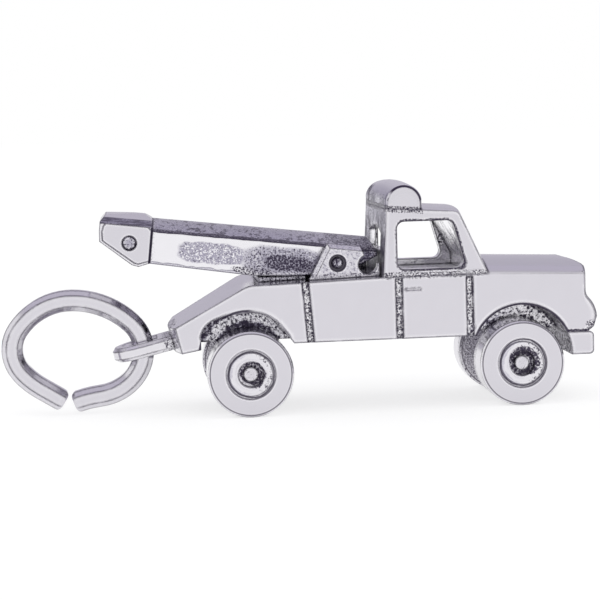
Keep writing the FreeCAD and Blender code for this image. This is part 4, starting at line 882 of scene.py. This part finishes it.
def bracket_metal():
    """The boom brackets, left with the grain of the casting."""
    m = Metal("bracket_silver")
    g = m.g
    seat = g.span(m.uneven(m.reach(PIVOT), cloud=0.06), BRACKET_SEAT)
    inner_face = g.span(m.out, BRACKET_INNER_SIDE)
    foot = g.overlap(g.span(m.uneven(m.z, cloud=0.15), SEAM_HEIGHT), strength=0.36)
    return m.finish(g.strongest(g.raised(0.09, inner_face, by=0.56), foot), sparkle=foot,
                    drawn=g.overlap(seat, strength=0.85),
                    dull=g.overlap(g.span(m.grit, BRACKET_GRAIN), strength=0.5),
                    crease=0.3, sooty=0.6, edge=0.13, line=0.95, halo=0.9)


def pin_metal(name, centre, radius, oxide):
    """A peened pin end, mottled dark with a small bright place."""
    m = Metal(name)
    g = m.g
    mottle = g.span(m.cloud, PIN_MOTTLE, levels=(oxide - 0.22, oxide + 0.12))
    rim = g.span(m.uneven(m.reach(centre), cloud=0.2), moved(PIN_RIM, radius))
    return m.finish(g.strongest(mottle, (rim, 0.7)), dull=0.65, crease=0.12, sooty=0.6)


def even_metal(name, **look):
    """Silver with the same look all over."""
    return Metal(name).finish(**look)


# Wheels and bail

# Distances from the wheel's axis
HUB_GROOVE = (1.17, 1.26)
HUB_SHADE = (1.00, 1.20)
HUB_GRAINS = (0.95, 1.15)
HUB_RECESS = (0.40, 0.80)
HUB = (0.80, 1.12)
RIM_LINE = (2.09, 2.15)
RIM_HIGHLIGHT = (2.17, 2.20)

# Steps forward of the axle
SHADE_START = (0.3, -0.6)
GRAINS_START = (0.1, 0.8)

# Distances from the truck's middle plane, to the side
WHEEL_FACE = (3.5, 3.7)
WHEEL_BOWL = (2.9, 3.1)
WHEEL_INNER_SHADE = (2.9, 2.4)
RIM_HIGHLIGHT_WIDTH = (3.8, 3.88)

# Steps on a noise, and on how much a face looks to the side
RECESS_STAINS = (0.35, 0.65)
RIM_FACE = (0.5, 0.8)
BAIL_LIT_FACE = (0.3, 0.6)

# Where the bail's grains end along the truck
BAIL_ROOT = (-7.25, -6.95)


def hub_marks(m, exact, off_centre):
    """The uneven dark groove round a hub, and the stain in its recess."""
    g = m.g
    groove_reach = g.raised(m.uneven(exact, cloud=0.16), off_centre, by=0.25)
    groove = g.between(groove_reach, HUB_GROOVE, soft=0.03)
    recess = g.between(g.add(m.uneven(exact, cloud=0.24), off_centre), HUB_RECESS)
    return groove, g.overlap(recess, g.span(m.cloud, RECESS_STAINS, levels=(0.58, 0.92)))


def wheel_metal(name, axle):
    """A wheel: an uneven groove round a pale hub with painted shade on its rear side, a dark recess, painted
    shade on its inner side, a painted dark reflection line inside the rounded rim and a painted highlight on
    the rim.
    """
    m = Metal(name)
    g = m.g
    exact = m.reach(axle)
    reach = m.uneven(exact, cloud=0.42, grit=0.10)
    groove, recess = hub_marks(m, exact, off_centre=g.mul(g.sub(m.sway, MIDDLE), 0.8))
    face, bowl = g.span(m.out, WHEEL_FACE), g.span(m.out, WHEEL_BOWL)
    # Painted shade on the wheel's inner side
    inner_shade = g.overlap(g.span(m.out, WHEEL_INNER_SHADE), strength=0.24)
    shade = g.overlap(g.between(reach, HUB_SHADE, soft=0.06), g.span(m.x, moved(SHADE_START, axle[0])))
    grains = g.between(reach, HUB_GRAINS, soft=0.12)
    grains = g.overlap(grains, g.span(m.x, moved(GRAINS_START, axle[0])), strength=0.40)
    hub = g.overlap(face, g.between(reach, HUB, soft=0.06))
    # A painted dark reflection line inside the rim, and a painted highlight on the rim's outer band
    rim = g.overlap(g.between(exact, RIM_LINE, soft=0.02), g.span(m.side, RIM_FACE), strength=0.8)
    band = g.overlap(g.span(exact, RIM_HIGHLIGHT), g.span(m.out, RIM_HIGHLIGHT_WIDTH))
    return m.finish(g.strongest((bowl, recess), (face, grains), inner_shade), crease=0.25, edge=0.11, line=0.5,
                    drawn=g.strongest(rim, (face, groove, 0.9)),
                    sparkle=g.overlap(face, g.strongest((recess, 0.5), grains), strength=0.6),
                    dull=g.overlap(face, shade, strength=0.6),
                    shine=g.strongest((hub, 0.35), (band, 0.6)),
                    sooty=g.lessened(0.8, face, by=0.35))


def bail_metal():
    """The bail, granular where it is joined to the tail, and painted lighter on its side faces as a
    highlight.
    """
    m = Metal("bail_silver")
    g = m.g
    root = g.overlap(g.span(m.uneven(m.x, cloud=0.3), BAIL_ROOT), strength=0.46)
    return m.finish(root, sparkle=g.overlap(root, strength=1.6),
                    shine=g.overlap(g.span(m.side, BAIL_LIT_FACE), strength=0.25),
                    crease=0.25, sooty=0.4, edge=0.13, line=1.0)


looks = {
    "body": body_metal(),
    "cab": cab_metal(),
    "boom": boom_metal(),
    "boom_head": head_metal(),
    "beacon": beacon_metal(),
    "bail": bail_metal(),
    "jump_ring": even_metal("ring_silver", crease=0.15, sooty=0.4, edge=0.20, line=1.0, polish=0.11),
    # The boom base is rough, and also painted dark as the shade in the gap between boom and tail
    "boom_base": even_metal("rough_shaded_silver", skin=0.46, dull=0.5, crease=0.12, sooty=0.5, line=0.6),
    "front_bumper": bumper_metal(),
    "boom_pin": pin_metal("rivet_silver", PIVOT, RIVET_RADIUS, oxide=0.50),
    "head_pin": pin_metal("head_pin_silver", HEAD_PIN, HEAD_PIN_RADIUS, oxide=0.42),
}
grained = bracket_metal()
for name in ("bracket_right", "bracket_left"):
    looks[name] = grained
for end, axle in (("front", FRONT_AXLE), ("rear", REAR_AXLE)):
    looks[f"{end}_axle"] = even_metal(f"{end}_axle_silver", skin=0.10)
    for side in ("right", "left"):
        looks[f"{end}_{side}_wheel"] = wheel_metal(f"{end}_{side}_wheel_silver", axle)
for name, node in frame["nodes"].items():
    node.data.materials.clear()
    node.data.materials.append(looks[name])


# Stage, camera and light

# The floor's half size in metres, and how bright it glows where it is seen or mirrored
FLOOR_HALF_SIZE = 2.0
FLOOR_GLOW = 0.72
FLOOR_CORNERS = ((-1, -1), (1, -1), (1, 1), (-1, 1))

# What the room sends to all that doesn't mirror it
ROOM_LIGHT = 0.75

# Steps on the directions that the metal mirrors: forward is where the camera looks
NEAR_WALL = (-0.35, -0.90)
SIDE_WALLS = (0.66, 0.80)
SIDE_WALLS_FORWARD = (0.25, 0.05)
HORIZON_FORWARD = (0.3, 0.6)
HORIZON_HEIGHT = (0.05, 0.0)
CEILING_HEIGHT = (0.25, 0.95)
FLAG_SIDES = (0.62, 0.86)
FLAG_HEIGHT = (0.62, 0.40)
FLAG_FORWARD = (0.10, 0.35)

# The camera's place in millimetres, its turns in degrees, its clipping in metres
EYE = (-8.480, -96.259, 15.117)
YAW, PITCH, ROLL = math.radians(5.262), math.radians(-5.592), math.radians(-1.759)
SENSOR_WIDTH = 36.0
LENS = 108.0
NEAREST, FARTHEST = 0.001, 10.0


def ray_kinds(g):
    """Whether a ray comes from the camera, from a mirror or through glass."""
    path = g.node("ShaderNodeLightPath")
    return path.outputs["Is Camera Ray"], path.outputs["Is Glossy Ray"], path.outputs["Is Transmission Ray"]


def floor_material():
    """White to the camera and in the metal, and a plain grey to all other light."""
    material = bpy.data.materials.new("floor")
    material.use_nodes = True
    g = Graph(material.node_tree)
    lit = g.node("ShaderNodeBsdfDiffuse", {"Color": FLOOR_GREY})
    glow = g.node("ShaderNodeEmission", {"Color": WHITE, "Strength": FLOOR_GLOW})
    both = g.node("ShaderNodeAddShader", {0: lit.outputs[0], 1: glow.outputs[0]})
    seen = g.high(*ray_kinds(g))
    mixed = g.node("ShaderNodeMixShader", {0: seen, 1: lit.outputs[0], 2: both.outputs[0]})
    g.node("ShaderNodeOutputMaterial", {"Surface": mixed.outputs[0]})
    return material


def floor():
    """A plain floor that takes the truck's faint shadow."""
    mesh = bpy.data.meshes.new("floor")
    corners = [(x * FLOOR_HALF_SIZE, y * FLOOR_HALF_SIZE, 0) for x, y in FLOOR_CORNERS]
    mesh.from_pydata(corners, [], [(0, 1, 2, 3)])
    mesh.materials.append(floor_material())
    plane = bpy.data.objects.new("floor", mesh)
    bpy.context.scene.collection.objects.link(plane)


def world():
    """A soft white room. Metal mirrors it with a greyer ceiling and a darker flag at each side."""
    room = bpy.data.worlds.new("room")
    bpy.context.scene.world = room
    room.use_nodes = True
    g = Graph(room.node_tree)
    toward = g.node("ShaderNodeTexCoord").outputs["Generated"]
    along, forward, up = g.node("ShaderNodeSeparateXYZ", {0: toward}).outputs
    to_side = g.absolute(along)
    side_walls = g.overlap(g.span(to_side, SIDE_WALLS), g.span(forward, SIDE_WALLS_FORWARD))
    walls = g.strongest(g.span(forward, NEAR_WALL), side_walls)
    horizon = g.overlap(g.span(forward, HORIZON_FORWARD), g.span(up, HORIZON_HEIGHT))
    ceiling = g.raised(0.58, g.span(up, CEILING_HEIGHT), by=0.12)
    flag = g.overlap(g.between(to_side, FLAG_SIDES, soft=0.10), g.span(g.absolute(up), FLAG_HEIGHT),
                     g.span(forward, FLAG_FORWARD), strength=0.30)
    camera_ray, mirror_ray, glass_ray = ray_kinds(g)
    mirrored = g.high(mirror_ray, glass_ray)
    shown = g.overlap(mirrored, g.sub(g.strongest(walls, horizon, ceiling), flag))
    strength = g.raised(shown, g.rest(mirrored), by=ROOM_LIGHT)
    violet = g.overlap(g.rest(g.strongest(walls, horizon, camera_ray)), mirrored)
    shader = g.node("ShaderNodeBackground", {
        "Color": g.mix(violet, WHITE, ROOM_VIOLET),
        "Strength": g.high(strength, camera_ray),
    })
    g.node("ShaderNodeOutputWorld", {"Surface": shader.outputs[0]})


def camera():
    """The photograph's viewpoint, found by fitting the wheels, roof and boom to it."""
    forward = Vector((math.sin(YAW) * math.cos(PITCH), math.cos(YAW) * math.cos(PITCH), math.sin(PITCH)))
    level = Vector((math.cos(YAW), -math.sin(YAW), 0.0))
    rise = level.cross(forward)
    right = level * math.cos(ROLL) + rise * math.sin(ROLL)
    up = rise * math.cos(ROLL) - level * math.sin(ROLL)
    turn = Matrix((right, up, -forward)).transposed().to_4x4()
    data = bpy.data.cameras.new("camera")
    data.sensor_width = SENSOR_WIDTH
    data.lens = LENS
    data.clip_start = NEAREST
    data.clip_end = FARTHEST
    eye = bpy.data.objects.new("camera", data)
    bpy.context.scene.collection.objects.link(eye)
    eye.matrix_world = Matrix.Translation(Vector(EYE) * MM) @ turn
    bpy.context.scene.camera = eye


def lamp(name, place, target, size, power):
    """A round lamp that the metal doesn't mirror, in metres and watts."""
    data = bpy.data.lights.new(name, "AREA")
    data.shape = "DISK"
    data.size = size
    data.energy = power
    made = bpy.data.objects.new(name, data)
    bpy.context.scene.collection.objects.link(made)
    made.location = place
    made.rotation_mode = "QUATERNION"
    made.rotation_quaternion = (Vector(target) - Vector(place)).to_track_quat("-Z", "Y")
    made.visible_glossy = False


floor()
world()
camera()
lamp("soft_top", place=(0.0, -0.06, 0.20), target=(0.0, 0.0, 0.005), size=0.18, power=0.05)
bpy.context.scene.view_settings.view_transform = "Standard"
